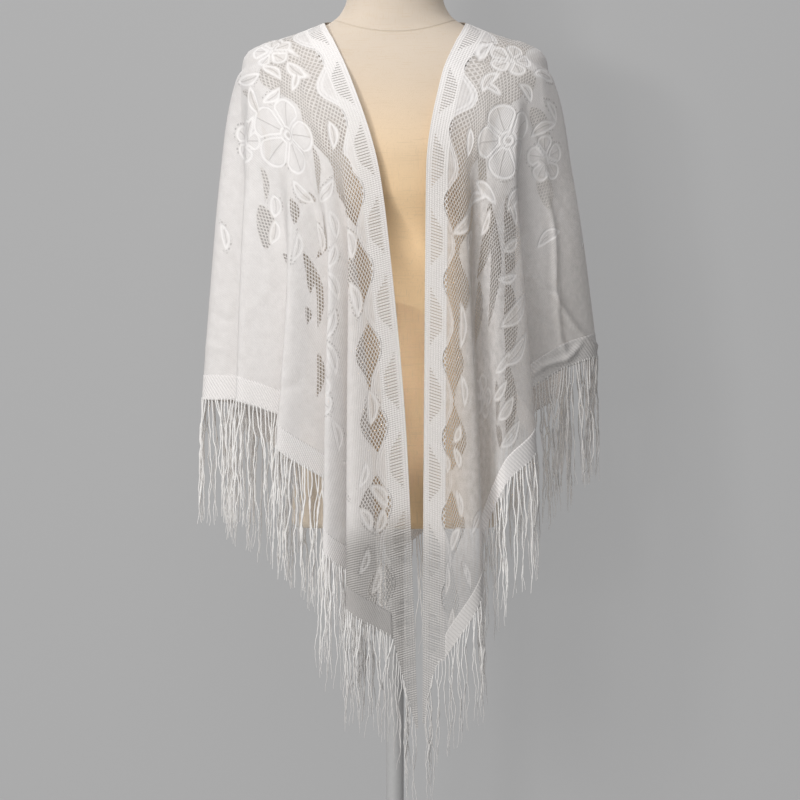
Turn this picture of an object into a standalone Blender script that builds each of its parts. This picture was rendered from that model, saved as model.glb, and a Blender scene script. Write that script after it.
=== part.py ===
"""A lace shawl worn on a limbless dress form that stands on a pole and a round base.

Metres, +Z up.  The origin is on the floor, under the middle of the stand.  The form faces -Y,
so the shawl's left front (the wearer's right) is on -X.

The shawl is one knitted triangle.  Its long edge runs up one front, round the neck and down the
other front, and carries an edging.  Its two short sides carry a hem band and a fringe.  On each
side the cloth hangs as columns that fan out from one point on the shoulder, and the tables below
say where each fold of that fan stands at four heights.
"""

import math
from collections import namedtuple

import bmesh
import bpy
import numpy as np

# ---------------------------------------------------------------------------- driving sizes
WALL = 0.0016              # thickness of the cloth
SEAM = 0.0003              # gap between two pieces that are sewn together
HEM_BAND_WIDTH = 0.031     # ribbed band above the fringe
FORM_CLEARANCE = 0.0025    # from the form to the inside of the cloth, where it rests

FRINGE_STRIP = 0.004       # height of the strip that the strands grow from
FRINGE_LENGTH = 0.155
TAIL_FRINGE_LENGTH = 0.118  # the strands get shorter towards the tips of the two tails
STRAND_PITCH = 0.0150      # along a level hem
STEEP_SHARE = 0.4          # a steep hem counts this share of its drop, so its strands stand apart
STRAND_WIDTH = 0.0022
STRAND_TIP_SHARE = 0.3     # width of a strand's tip

NECK_TOP = 1.500
FORM_BOTTOM = 0.800
CAP_RADIUS, CAP_HEIGHT = 0.050, 0.012
POLE_RADIUS = 0.011
BASE_RADIUS, BASE_HEIGHT = 0.165, 0.014

# ---------------------------------------------------------------------------- the dress form
# Level sections of the form, from its underside to its neck: height, half the width, how far
# the front and the back reach from the middle plane.
Section = namedtuple("Section", "z half_width front back")
FORM_SECTIONS = [Section(*row) for row in (
    (0.800, 0.1290, 0.0960, 0.0880),
    (0.860, 0.1270, 0.0950, 0.0910),
    (0.950, 0.1160, 0.0880, 0.0850),
    (1.070, 0.1070, 0.0840, 0.0780),
    (1.150, 0.1160, 0.0970, 0.0840),
    (1.220, 0.1380, 0.1190, 0.0950),
    (1.260, 0.1500, 0.1180, 0.1010),
    (1.310, 0.1700, 0.1000, 0.1060),
    (1.345, 0.1830, 0.0840, 0.1030),
    (1.368, 0.1885, 0.0740, 0.0980),
    (1.384, 0.1860, 0.0670, 0.0915),
    (1.395, 0.1720, 0.0620, 0.0855),
    (1.404, 0.1490, 0.0580, 0.0790),
    (1.415, 0.1170, 0.0550, 0.0720),
    (1.426, 0.0885, 0.0530, 0.0660),
    (1.440, 0.0690, 0.0530, 0.0600),
    (1.460, 0.0600, 0.0550, 0.0540),
    (1.500, 0.0570, 0.0580, 0.0500),
)]
FORM_AROUND = 40           # faces round the form
END_SHARE = 0.95           # width of the form's flat ends against its width beside them
FORM_ROUNDING = 0.006      # rounding at the form's lower edge
PROBE = 0.0005             # step over which the way out of the form is measured
PUSHES = 6                 # rounds of moving cloth out of the form, none over LONGEST_PUSH
LONGEST_PUSH = 0.02

# ---------------------------------------------------------------------------- the drape
HIGH, CHEST, RIB, LOW, FOOT = 1.360, 1.240, 1.130, 0.900, 0.600
FOOT_SPREAD = 0.45         # below LOW a fold spreads at this share of its slope above it

# The long edge leaves the shoulder at NECK_POINT and goes round the neck on NECK_EDGE.  The cloth
# proper starts one edging's width further out, on NECK_SEAM.  Both rings are given by their half
# width, where they cross the shoulder, how far the back reaches from there, and two heights.
Ring = namedtuple("Ring", "half_width shoulder_y back_reach shoulder_z back_z")
NECK_EDGE = Ring(0.0880, -0.004, 0.0700, 1.4285, 1.4360)
NECK_SEAM = Ring(0.1140, -0.003, 0.0830, 1.4175, 1.4110)

# One row per fold, from the front edge to the middle of the back.  "turn" is where the column
# starts on the neck ring (0 on the shoulder, 90 at the middle of the back), "out" is the distance
# from the middle plane, "y" the depth (negative to the front), each at one of the heights above,
# and "hem" is the height of the hem there.
Fold = namedtuple("Fold", "name turn high_out high_y chest_out chest_y rib_out rib_y "
                          "low_out low_y hem")
LEFT_FOLDS = [Fold(*row) for row in (
    ("edge", 0, 0.0560, -0.080, 0.0190, -0.130, 0.0050, -0.136, -0.0150, -0.147, 0.559),
    ("seam", 0, 0.0830, -0.078, 0.0460, -0.129, 0.0320, -0.138, 0.0120, -0.149, 0.668),
    ("front fold", 0, 0.0980, -0.075, 0.0640, -0.126, 0.0560, -0.140, 0.0575, -0.152, 0.702),
    ("front valley", 0, 0.1100, -0.072, 0.0740, -0.122, 0.0480, -0.120, 0.0290, -0.115, 0.728),
    ("middle fold", 0, 0.1220, -0.069, 0.0900, -0.118, 0.0800, -0.130, 0.0850, -0.139, 0.771),
    ("middle valley", 0, 0.1350, -0.065, 0.1050, -0.110, 0.0790, -0.108, 0.0590, -0.106, 0.835),
    ("outer fold", 0, 0.1490, -0.060, 0.1270, -0.103, 0.1290, -0.116, 0.1440, -0.119, 0.899),
    ("outer valley", 0, 0.1630, -0.053, 0.1440, -0.089, 0.1320, -0.088, 0.1160, -0.084, 0.927),
    ("arm fold", 0, 0.1780, -0.042, 0.1830, -0.066, 0.1890, -0.076, 0.1960, -0.077, 0.957),
    ("arm valley", 0, 0.1890, -0.025, 0.1860, -0.036, 0.1800, -0.043, 0.1740, -0.040, 0.959),
    ("side", 0, 0.1970, -0.004, 0.2170, -0.008, 0.2270, -0.010, 0.2430, -0.008, 0.959),
    ("side valley", 0, 0.1950, 0.018, 0.2050, 0.030, 0.2010, 0.038, 0.1960, 0.042, 0.953),
    ("back fold", 0, 0.1870, 0.040, 0.1970, 0.066, 0.2050, 0.081, 0.2110, 0.096, 0.932),
    ("back valley", 10, 0.1700, 0.058, 0.1670, 0.088, 0.1600, 0.092, 0.1530, 0.095, 0.898),
    ("spine fold", 36, 0.1360, 0.080, 0.1290, 0.112, 0.1180, 0.129, 0.1060, 0.143, 0.845),
    ("spine valley", 62, 0.0700, 0.099, 0.0680, 0.120, 0.0600, 0.128, 0.0530, 0.137, 0.800),
    ("middle back", 90, 0.0000, 0.107, 0.0000, 0.124, 0.0000, 0.133, 0.0000, 0.150, 0.770),
)]
RIGHT_FOLDS = [Fold(*row) for row in (
    ("edge", 0, 0.0575, -0.080, 0.0380, -0.130, 0.0370, -0.137, 0.0350, -0.147, 0.565),
    ("seam", 0, 0.0845, -0.077, 0.0650, -0.127, 0.0640, -0.138, 0.0620, -0.149, 0.642),
    ("front fold", 0, 0.1090, -0.072, 0.0870, -0.122, 0.0890, -0.138, 0.1000, -0.147, 0.712),
    ("front valley", 0, 0.1210, -0.068, 0.1000, -0.114, 0.0990, -0.111, 0.1050, -0.106, 0.786),
    ("middle fold", 0, 0.1360, -0.063, 0.1190, -0.108, 0.1250, -0.122, 0.1340, -0.124, 0.853),
    ("outer fold", 0, 0.1530, -0.056, 0.1480, -0.094, 0.1560, -0.099, 0.1730, -0.099, 0.896),
    ("outer valley", 0, 0.1660, -0.048, 0.1520, -0.074, 0.1480, -0.070, 0.1500, -0.062, 0.950),
    ("arm fold", 0, 0.1830, -0.034, 0.1880, -0.048, 0.1930, -0.050, 0.2020, -0.048, 0.992),
    ("side", 0, 0.1965, -0.004, 0.2210, -0.006, 0.2380, -0.008, 0.2620, -0.006, 1.011),
    ("side valley", 0, 0.1950, 0.018, 0.2060, 0.030, 0.2070, 0.040, 0.2110, 0.046, 1.002),
    ("back fold", 0, 0.1870, 0.040, 0.1970, 0.066, 0.2080, 0.083, 0.2200, 0.100, 0.970),
    ("back valley", 10, 0.1700, 0.058, 0.1670, 0.088, 0.1610, 0.093, 0.1570, 0.099, 0.928),
    ("spine fold", 36, 0.1360, 0.080, 0.1290, 0.112, 0.1180, 0.129, 0.1080, 0.143, 0.860),
    ("spine valley", 62, 0.0700, 0.099, 0.0680, 0.120, 0.0600, 0.128, 0.0530, 0.137, 0.804),
    ("middle back", 90, 0.0000, 0.107, 0.0000, 0.124, 0.0000, 0.133, 0.0000, 0.150, 0.770),
)]

COLUMN_SHARES = (0.0, 0.15, 0.5, 0.85)   # columns of the mesh from one fold row to the next
TURN_ROUNDNESS = 0.9
EDGING_CELLS = 2           # faces across the edging
HEM_BAND_CELLS = 1         # faces down the hem band
SHOULDER_ROWS = (0.0, 0.022, 0.045, 0.066, 0.084, 0.103, 0.130)   # first rows of the mesh
LOWER_ROWS = 7             # rows from the last of those to the hem band
CLOTH_ROWS = len(SHOULDER_ROWS) - 1 + LOWER_ROWS
TAIL_STEPS = 3             # stations along the narrow tail of the edging
TAIL_TIP = 0.003           # width of the tail at its tip
TAIL_NARROWING = {-1: 1.0, 1: 0.4}   # below 1 the tail on that side narrows early
TAIL_STRANDS = 12          # strands over which the fringe grows to its full length
FRINGE_UNEVEN = 0.05       # share by which the strands differ in length
GOLDEN_ANGLE = 2.399963    # radians; spreads a repeated value evenly
LEVEL = np.array([1.0, 1.0, 0.0])   # keeps a vector's level part
DROPS = np.array([0.0, 0.060, 0.180, 0.290, 0.520, 0.820])   # neck and heights, down a column
BELOW_FOOT = 0.05          # how far below FOOT a column is carried on
SAMPLES_DOWN = 220         # points along a column before it is cut to its length
SAMPLE_CROWDING = 1.15     # above 1 crowds them towards the shoulder


# ---------------------------------------------------------------------------- curves
def smooth_through(knots, values, at):
    """Smooth curve through values at knots, without overshoot (piecewise cubic, slope 0 at turns)."""
    knots, values, at = np.asarray(knots, float), np.asarray(values, float), np.asarray(at, float)
    steps = np.diff(knots).reshape((-1,) + (1,) * (values.ndim - 1))
    secants = np.diff(values, axis=0) / steps
    slopes = np.zeros_like(values)
    before, after = secants[:-1], secants[1:]
    weight_before = 2 * steps[1:] + steps[:-1]
    weight_after = steps[1:] + 2 * steps[:-1]
    same_way = before * after > 0
    safe_before = np.where(same_way, before, 1.0)
    safe_after = np.where(same_way, after, 1.0)
    mean = (weight_before + weight_after) / (weight_before / safe_before + weight_after / safe_after)
    slopes[1:-1] = np.where(same_way, mean, 0.0)
    slopes[0], slopes[-1] = secants[0], secants[-1]
    cell = np.clip(np.searchsorted(knots, at, side="right") - 1, 0, len(knots) - 2)
    shape = (-1,) + (1,) * (values.ndim - 1)
    step = (knots[cell + 1] - knots[cell]).reshape(shape)
    f = ((at - knots[cell])).reshape(shape) / step
    return ((1 + 2 * f) * (1 - f) ** 2 * values[cell] + f * (1 - f) ** 2 * step * slopes[cell]
            + f * f * (3 - 2 * f) * values[cell + 1] + f * f * (f - 1) * step * slopes[cell + 1])


def unit(vectors):
    return vectors / np.maximum(np.linalg.norm(vectors, axis=-1, keepdims=True), 1e-9)


def folded_across(stations, at):
    """Curve across the folds: each turn is as round as its shorter neighbouring panel allows."""
    ahead = np.diff(stations, axis=0)
    before, after = np.concatenate([ahead[:1], ahead]), np.concatenate([ahead, ahead[-1:]])
    reach = np.minimum(np.linalg.norm(before, axis=-1), np.linalg.norm(after, axis=-1))[..., None]
    slopes = TURN_ROUNDNESS * reach * unit(unit(before) + unit(after))
    cell = np.minimum(at.astype(int), len(stations) - 2)
    f = (at - cell).reshape((-1,) + (1,) * (stations.ndim - 1))
    return ((1 + 2 * f) * (1 - f) ** 2 * stations[cell] + f * (1 - f) ** 2 * slopes[cell]
            + f * f * (3 - 2 * f) * stations[cell + 1] + f * f * (f - 1) * slopes[cell + 1])


def along(points, distances):
    """Points at the given distances along a polyline."""
    lengths = np.concatenate([[0.0], np.cumsum(np.linalg.norm(np.diff(points, axis=0), axis=1))])
    return np.stack([np.interp(distances, lengths, points[:, axis]) for axis in range(3)], axis=1)


def length_of(points):
    return float(np.linalg.norm(np.diff(points, axis=0), axis=1).sum())


# ---------------------------------------------------------------------------- the form's surface
FORM_TABLE = np.array(FORM_SECTIONS)


def form_section(z):
    """Half width, centre y and half depth of the form at height z."""
    found = smooth_through(FORM_TABLE[:, 0], FORM_TABLE[:, 1:], np.clip(z, FORM_BOTTOM, NECK_TOP))
    half_width, front, back = found[:, 0], found[:, 1], found[:, 2]
    return half_width, (back - front) / 2, (back + front) / 2


def form_reach(points):
    """1 on the form's surface, less inside and more outside."""
    half_width, middle, half_depth = form_section(points[:, 2])
    return np.hypot(points[:, 0] / half_width, (points[:, 1] - middle) / half_depth)


def rest_on_form(points, clearance):
    """Move points that are closer to the form than the clearance straight out of it."""
    shape, points = points.shape, points.reshape(-1, 3).copy()
    probes = PROBE * np.eye(3)
    for _ in range(PUSHES):
        reach = form_reach(points)
        gradient = np.stack([form_reach(points + probe) - form_reach(points - probe)
                             for probe in probes], axis=1) / (2 * PROBE)
        size = np.linalg.norm(gradient, axis=1)
        lack = np.clip(clearance - (reach - 1) / size, 0, LONGEST_PUSH)
        points += gradient / size[:, None] * lack[:, None]
    return points.reshape(shape)


# ---------------------------------------------------------------------------- the cloth's surface
def ring_point(ring, side, turn):
    """A point of a neck ring, turn degrees from the shoulder towards the middle of the back."""
    angle = math.radians(turn)
    return np.array([side * ring.half_width * math.cos(angle),
                     ring.shoulder_y + ring.back_reach * math.sin(angle),
                     ring.shoulder_z + (ring.back_z - ring.shoulder_z) * math.sin(angle)])


def column_through(fold, side, ring):
    """The six points that a column of cloth hangs through, from the neck to below its hem."""
    spread = FOOT_SPREAD * (LOW - FOOT) / (RIB - LOW)
    foot_out = fold.low_out + spread * (fold.low_out - fold.rib_out)
    foot_y = fold.low_y + spread * (fold.low_y - fold.rib_y)
    return np.array([ring_point(ring, side, fold.turn),
                     (side * fold.high_out, fold.high_y, HIGH),
                     (side * fold.chest_out, fold.chest_y, CHEST),
                     (side * fold.rib_out, fold.rib_y, RIB),
                     (side * fold.low_out, fold.low_y, LOW),
                     (side * foot_out, foot_y, FOOT)])


def hang(stations, hems):
    """Columns of cloth, each cut at its hem: a list of dense polylines from the neck down."""
    at = np.linspace(0.0, 1.0, SAMPLES_DOWN) ** SAMPLE_CROWDING * (DROPS[-1] + BELOW_FOOT)
    columns = smooth_through(DROPS, np.moveaxis(stations, 1, 0), at)
    columns = rest_on_form(np.moveaxis(columns, 0, 1), FORM_CLEARANCE)
    cut = []
    for column, hem in zip(columns, hems):
        last = int(np.argmax(column[:, 2] < hem))
        share = (column[last - 1, 2] - hem) / (column[last - 1, 2] - column[last, 2])
        end = column[last - 1] + share * (column[last] - column[last - 1])
        cut.append(np.vstack([column[:last], end]))
    return cut


def drape():
    """What the cloth's pieces are cut from: the front edges, the columns and the neck's edge.

    Columns run from the left seam round the back to the right seam.  Each front edge is the
    column at the very front, which belongs to the edging alone, as the neck's edge does.
    """
    edges = {side: hang(column_through(folds[0], side, NECK_EDGE)[None], [folds[0].hem])[0]
             for side, folds in ((-1, LEFT_FOLDS), (1, RIGHT_FOLDS))}
    round_body = ([(-1, fold) for fold in LEFT_FOLDS[1:]]
                  + [(1, fold) for fold in RIGHT_FOLDS[-2:0:-1]])
    stations = np.array([column_through(fold, side, NECK_SEAM) for side, fold in round_body])
    neck = np.array([ring_point(NECK_EDGE, side, fold.turn) for side, fold in round_body])
    knots = np.arange(len(round_body))
    at = np.append(np.add.outer(knots[:-1], COLUMN_SHARES).ravel(), knots[-1])
    hems = smooth_through(knots, [fold.hem for side, fold in round_body], at)
    columns = hang(folded_across(stations, at), hems)
    neck_edge = rest_on_form(folded_across(neck, at), FORM_CLEARANCE)
    return edges, columns, neck_edge


def row_distances(column):
    """Where the mesh's rows lie along a column: the ground's, then the hem band's."""
    length = length_of(column)
    lower = np.linspace(SHOULDER_ROWS[-1], length - HEM_BAND_WIDTH, LOWER_ROWS + 1)
    ground = np.concatenate([SHOULDER_ROWS, lower[1:]])
    band = length - HEM_BAND_WIDTH * np.linspace(1, 0, HEM_BAND_CELLS + 1)
    return np.concatenate([ground, band[1:]])


def ways_out(points):
    """The unit way out of a sheet points[across, down], away from the body.

    Columns that start in one point share one way out there, the mean of theirs below it.
    """
    out = unit(np.cross(np.gradient(points, axis=0), np.gradient(points, axis=1)))
    out[:, 0] = out[:, 1]
    for start in (points[0, 0], points[-1, 0]):
        fan = np.linalg.norm(points[:, 0] - start, axis=1) < SEAM
        out[fan, 0] = unit(out[fan, 1].mean(axis=0))
    return out


def moved_off(line, out, side, distance):
    """A line on the cloth moved down the cloth, square to itself."""
    return line + distance * side * unit(np.cross(unit(np.gradient(line, axis=0)), out))


# ---------------------------------------------------------------------------- Blender helpers
def start_scene():
    for thing in list(bpy.data.objects):
        bpy.data.objects.remove(thing, do_unlink=True)
    collection = bpy.data.collections.new("lace_shawl_on_dress_form")
    bpy.context.scene.collection.children.link(collection)
    return collection


def material(name, colour, roughness, metallic=0.0):
    made = bpy.data.materials.new(name)
    made.use_nodes = True
    shader = made.node_tree.nodes["Principled BSDF"]
    shader.inputs["Base Color"].default_value = (*colour, 1.0)
    shader.inputs["Roughness"].default_value = roughness
    shader.inputs["Metallic"].default_value = metallic
    return made


def add_object(collection, name, bm, look):
    """Make an object of a mesh whose faces are first split into well-shaped triangles."""
    bmesh.ops.triangulate(bm, faces=bm.faces[:])
    mesh = bpy.data.meshes.new(name)
    bm.to_mesh(mesh)
    bm.free()
    mesh.shade_smooth()
    mesh.materials.append(look)
    made = bpy.data.objects.new(name, mesh)
    collection.objects.link(made)
    return made


def grid_vertices(bm, across, down):
    """A flat grid of faces, and its vertices by column and row."""
    bmesh.ops.create_grid(bm, x_segments=across, y_segments=down, size=0.5)
    return {(round((vertex.co.x + 0.5) * across), round((0.5 - vertex.co.y) * down)): vertex
            for vertex in bm.verts}


def add_cloth(collection, name, points, out, look):
    """A wall of cloth: a sheet through points[across, down], extruded along the ways out."""
    bm = bmesh.new()
    way_out = bm.verts.layers.float_vector.new("way_out")
    for (i, j), vertex in grid_vertices(bm, points.shape[0] - 1, points.shape[1] - 1).items():
        vertex.co = points[i, j]
        vertex[way_out] = out[i, j]
    bmesh.ops.remove_doubles(bm, verts=bm.verts[:], dist=0.00002)
    outer = bmesh.ops.extrude_face_region(bm, geom=bm.faces[:], use_keep_orig=True)["geom"]
    for vertex in outer:
        if isinstance(vertex, bmesh.types.BMVert):
            vertex.co += vertex[way_out] * WALL
    bmesh.ops.recalc_face_normals(bm, faces=bm.faces[:])
    return add_object(collection, name, bm, look)


# ---------------------------------------------------------------------------- the dress form
def add_form(collection, look):
    """A sphere whose rings are moved to the form's sections, flat below and at the neck's top."""
    rings = [(z, 1.0) for z in FORM_TABLE[1:-1, 0]]
    rings = ([(FORM_BOTTOM, 0.0), (FORM_BOTTOM, END_SHARE), (FORM_BOTTOM + FORM_ROUNDING, 1.0)]
             + rings
             + [(NECK_TOP - FORM_ROUNDING / 2, 1.0), (NECK_TOP, END_SHARE), (NECK_TOP, 0.0)])
    steps = len(rings) - 1
    bm = bmesh.new()
    bmesh.ops.create_uvsphere(bm, u_segments=FORM_AROUND, v_segments=steps, radius=1.0)
    for vertex in bm.verts:
        latitude = math.asin(max(-1.0, min(1.0, vertex.co.z))) / math.pi + 0.5
        height, share = rings[round(latitude * steps)]
        half_width, middle, half_depth = (part[0] for part in form_section(np.array([height])))
        turn = math.atan2(vertex.co.y, vertex.co.x)
        vertex.co = (half_width * share * math.cos(turn),
                     middle + half_depth * share * math.sin(turn), height)
    return add_object(collection, "form_body", bm, look)


def add_disc(collection, name, radius, bottom, top, edge, look, around, middle_y=0.0):
    """A round plate or rod with a rounded lower and upper edge."""
    bm = bmesh.new()
    bmesh.ops.create_cone(bm, cap_ends=True, segments=around, radius1=radius, radius2=radius,
                          depth=top - bottom)
    rims = [rim for rim in bm.edges if abs(rim.verts[0].co.z - rim.verts[1].co.z) < 1e-6]
    bmesh.ops.bevel(bm, geom=rims, offset=edge, segments=2, affect="EDGES", profile=0.5)
    bmesh.ops.translate(bm, verts=bm.verts[:], vec=(0, middle_y, (top + bottom) / 2))
    return add_object(collection, name, bm, look)


def add_stand(collection, metal, paint, wood):
    add_disc(collection, "stand_base", BASE_RADIUS, 0.0, BASE_HEIGHT, 0.004, paint, 40)
    add_disc(collection, "stand_pole", POLE_RADIUS, BASE_HEIGHT + SEAM, FORM_BOTTOM - SEAM, 0.001,
             metal, 16)
    neck_middle = form_section(np.array([NECK_TOP]))[1][0]
    add_disc(collection, "form_neck_cap", CAP_RADIUS, NECK_TOP + SEAM,
             NECK_TOP + SEAM + CAP_HEIGHT, 0.004, wood, 28, neck_middle)


# ---------------------------------------------------------------------------- the shawl
def moved_towards(points, targets, distance):
    """Points moved a distance towards their targets."""
    way = targets - points
    return points + way / np.linalg.norm(way, axis=-1, keepdims=True) * distance


def tail_edge(hem_end, tip, side):
    """The slanted edge of a tail of the edging, from the hem's end down to its tip."""
    down = np.linspace(0, 1, TAIL_STEPS + 1)[1:, None]
    inwards = down ** TAIL_NARROWING[side]
    tip = moved_towards(tip, hem_end * LEVEL + tip * (1 - LEVEL), TAIL_TIP)
    return hem_end + (inwards * LEVEL + down * (1 - LEVEL)) * (tip - hem_end)


def edging_front(edge, seam, seam_out, side):
    """Stations of the edging down one front: the long edge, the seam side and the ways out."""
    rows = row_distances(seam)
    tail_rows = np.linspace(rows[-1], length_of(edge), TAIL_STEPS + 1)[1:]
    outer = along(edge, np.concatenate([rows, tail_rows]))
    inner = np.vstack([along(seam, rows), tail_edge(seam[-1], edge[-1], side)])
    return outer, inner, np.vstack([seam_out, np.repeat(seam_out[-1:], TAIL_STEPS, axis=0)])


def add_edging(collection, edges, columns, out, neck_edge, look):
    """The edging, one strip from tail to tail: up one front, round the neck and down the other."""
    left = edging_front(edges[-1], columns[0], out[0], -1)
    right = edging_front(edges[1], columns[-1], out[-1], 1)
    starts = np.array([column[0] for column in columns])
    on_neck = (np.linalg.norm(starts - starts[0], axis=1) > SEAM) & \
              (np.linalg.norm(starts - starts[-1], axis=1) > SEAM)
    neck = neck_edge[on_neck], starts[on_neck], out[on_neck, 0]
    outer, inner, strip_out = [np.vstack([a[::-1], b, c]) for a, b, c in zip(left, neck, right)]
    inner = moved_towards(inner, outer, SEAM)
    shares = np.linspace(0, 1, EDGING_CELLS + 1)
    points = np.stack([inner + share * (outer - inner) for share in shares], axis=1)
    points[:, 1:] = rest_on_form(points[:, 1:], FORM_CLEARANCE)
    strip_out = np.repeat(strip_out[:, None], EDGING_CELLS + 1, axis=1)
    return add_cloth(collection, "shawl_edging", points, strip_out, look)


def hem_lines(edges, sheet, out):
    """For each side: the hem from the tail's tip to the middle back, and the ways out there."""
    middle = len(sheet) // 2
    lines = {}
    for side, run in ((-1, slice(0, middle + 1)), (1, slice(None, middle - 1, -1))):
        hem, hem_out = sheet[run, -1], out[run, -1]
        tail = tail_edge(hem[0], edges[side][-1], side)[::-1]
        lines[side] = (np.vstack([tail, hem]),
                       np.vstack([np.repeat(hem_out[:1], len(tail), axis=0), hem_out]))
    return lines


def strip_stations(points, out, side):
    """Stations of a fringe strip: the corners of its section, and which cells carry a strand."""
    below = moved_off(points, out, side, 1.0) - points
    position, carries = [], []
    for k, step in enumerate(np.diff(points, axis=0)):
        length = np.linalg.norm(step)
        strands = max(1, round(math.hypot(*step[:2], STEEP_SHARE * step[2]) / STRAND_PITCH))
        middles = (np.arange(strands) + 0.5) / strands
        half = STRAND_WIDTH / 2 / length
        cuts = np.sort(np.concatenate([middles - half, middles + half]))
        position += [k] + list(k + cuts)
        carries += [False] + [True, False] * strands
    position.append(len(points) - 1)
    knots = np.arange(len(points))

    def at_stations(values):
        return np.stack([np.interp(position, knots, values[:, axis]) for axis in range(3)], axis=1)

    line, below, across = at_stations(points), at_stations(below), at_stations(out * WALL)
    top, bottom = line + below * 1.5 * SEAM, line + below * (1.5 * SEAM + FRINGE_STRIP)
    corners = np.stack([top + across, bottom + across, bottom, top], axis=1)
    return corners, carries


def grow_strand(bm, root, length):
    """Extrude a root face straight down to a slim four-sided strand."""
    middle = root.calc_center_median()
    width_way = unit(np.array(root.verts[1].co - root.verts[0].co) * LEVEL)
    depth_way = np.array([-width_way[1], width_way[0], 0.0])
    corners = [np.array(vertex.co - middle) for vertex in root.verts]
    signs = [(np.sign(corner @ width_way), np.sign(corner @ depth_way)) for corner in corners]
    tip = bmesh.ops.extrude_discrete_faces(bm, faces=[root])["faces"][0]
    half = STRAND_TIP_SHARE * STRAND_WIDTH / 2
    for vertex, (across, through) in zip(tip.verts, signs):
        vertex.co = (np.array(middle) - (0.0, 0.0, length)
                     + half * (across * width_way + through * depth_way))


def add_fringe(collection, name, points, out, side, look):
    """The fringe of one short side: strands that grow out of one narrow strip."""
    corners, carries = strip_stations(points, out, side)
    bm = bmesh.new()
    vertices = grid_vertices(bm, len(corners) - 1, 4)
    for (i, j), vertex in vertices.items():
        vertex.co = corners[i, j % 4]
    bmesh.ops.weld_verts(bm, targetmap={vertices[i, 4]: vertices[i, 0] for i in range(len(corners))})
    ends = [edge for edge in bm.edges if edge.is_boundary]
    bmesh.ops.holes_fill(bm, edges=ends, sides=4)
    roots = [bm.faces.get([vertices[i, 1], vertices[i + 1, 1], vertices[i + 1, 2], vertices[i, 2]])
             for i, carried in enumerate(carries) if carried]
    for number, root in enumerate(roots):
        full = min(1.0, number / TAIL_STRANDS)
        length = TAIL_FRINGE_LENGTH + full * (FRINGE_LENGTH - TAIL_FRINGE_LENGTH)
        length *= 1 + FRINGE_UNEVEN * math.sin(number * GOLDEN_ANGLE * 2)
        grow_strand(bm, root, length)
    bmesh.ops.recalc_face_normals(bm, faces=bm.faces[:])
    return add_object(collection, name, bm, look)


def add_shawl(collection, yarn, cord):
    """The ground, the edging, the hem band and both fringes, cut from one drape."""
    edges, columns, neck_edge = drape()
    sheet = np.array([along(column, row_distances(column)) for column in columns])
    out = ways_out(sheet)
    ground, band = slice(0, CLOTH_ROWS + 1), slice(CLOTH_ROWS, None)
    add_cloth(collection, "shawl_ground", sheet[:, ground], out[:, ground], yarn)
    add_edging(collection, edges, columns, out, neck_edge, yarn)
    band_sheet = sheet[:, band].copy()
    band_sheet[:, 0] = moved_off(band_sheet[:, 0], out[:, CLOTH_ROWS], -1, SEAM)
    add_cloth(collection, "shawl_hem_band", band_sheet, out[:, band], yarn)
    for side, (points, hem_out) in hem_lines(edges, sheet, out).items():
        name = "shawl_fringe_left" if side < 0 else "shawl_fringe_right"
        add_fringe(collection, name, points[:-1], hem_out[:-1], side, cord)


def main():
    collection = start_scene()
    linen = material("cream_linen", (0.80, 0.70, 0.55), 0.85)
    wood = material("beech", (0.62, 0.45, 0.28), 0.5)
    metal = material("satin_steel", (0.62, 0.62, 0.63), 0.35, 1.0)
    paint = material("grey_enamel", (0.55, 0.55, 0.56), 0.45)
    yarn = material("ivory_knit", (0.84, 0.81, 0.79), 0.8)
    cord = material("ivory_fringe", (0.86, 0.83, 0.81), 0.75)
    add_form(collection, linen)
    add_stand(collection, metal, paint, wood)
    add_shawl(collection, yarn, cord)


main()
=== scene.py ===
"""The look of a lace shawl on a limbless dress form: knitted pieces, fringe, linen and stand.

Metres, +Z up, the front faces -Y.  The cloth follows the same drape as the solids, worked out
more finely, and carries the flat cut's own coordinates: s is how far a stitch lies along the long
edge from the middle of the back, negative on the left, and t how far in from that edge.
"""

import math
from collections import namedtuple

import bmesh
import bpy
import numpy as np
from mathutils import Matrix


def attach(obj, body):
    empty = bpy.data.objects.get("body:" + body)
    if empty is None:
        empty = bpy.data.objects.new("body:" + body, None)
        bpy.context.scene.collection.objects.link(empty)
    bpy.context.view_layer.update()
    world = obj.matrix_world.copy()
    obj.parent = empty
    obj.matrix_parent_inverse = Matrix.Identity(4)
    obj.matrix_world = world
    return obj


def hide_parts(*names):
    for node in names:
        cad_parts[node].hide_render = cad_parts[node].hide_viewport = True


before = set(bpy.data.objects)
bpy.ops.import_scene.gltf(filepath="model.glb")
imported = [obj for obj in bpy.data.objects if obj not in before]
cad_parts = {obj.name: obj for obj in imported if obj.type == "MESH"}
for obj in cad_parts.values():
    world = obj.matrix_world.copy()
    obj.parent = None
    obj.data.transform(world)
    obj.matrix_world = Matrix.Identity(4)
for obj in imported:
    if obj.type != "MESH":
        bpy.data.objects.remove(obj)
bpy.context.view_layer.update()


def in_metres(kind, rows, kept=0):
    """Entries of a table whose lengths are in millimetres, after the first values that are kept."""
    return [kind(*row[:kept], *(length * 0.001 for length in row[kept:])) for row in rows]


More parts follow.
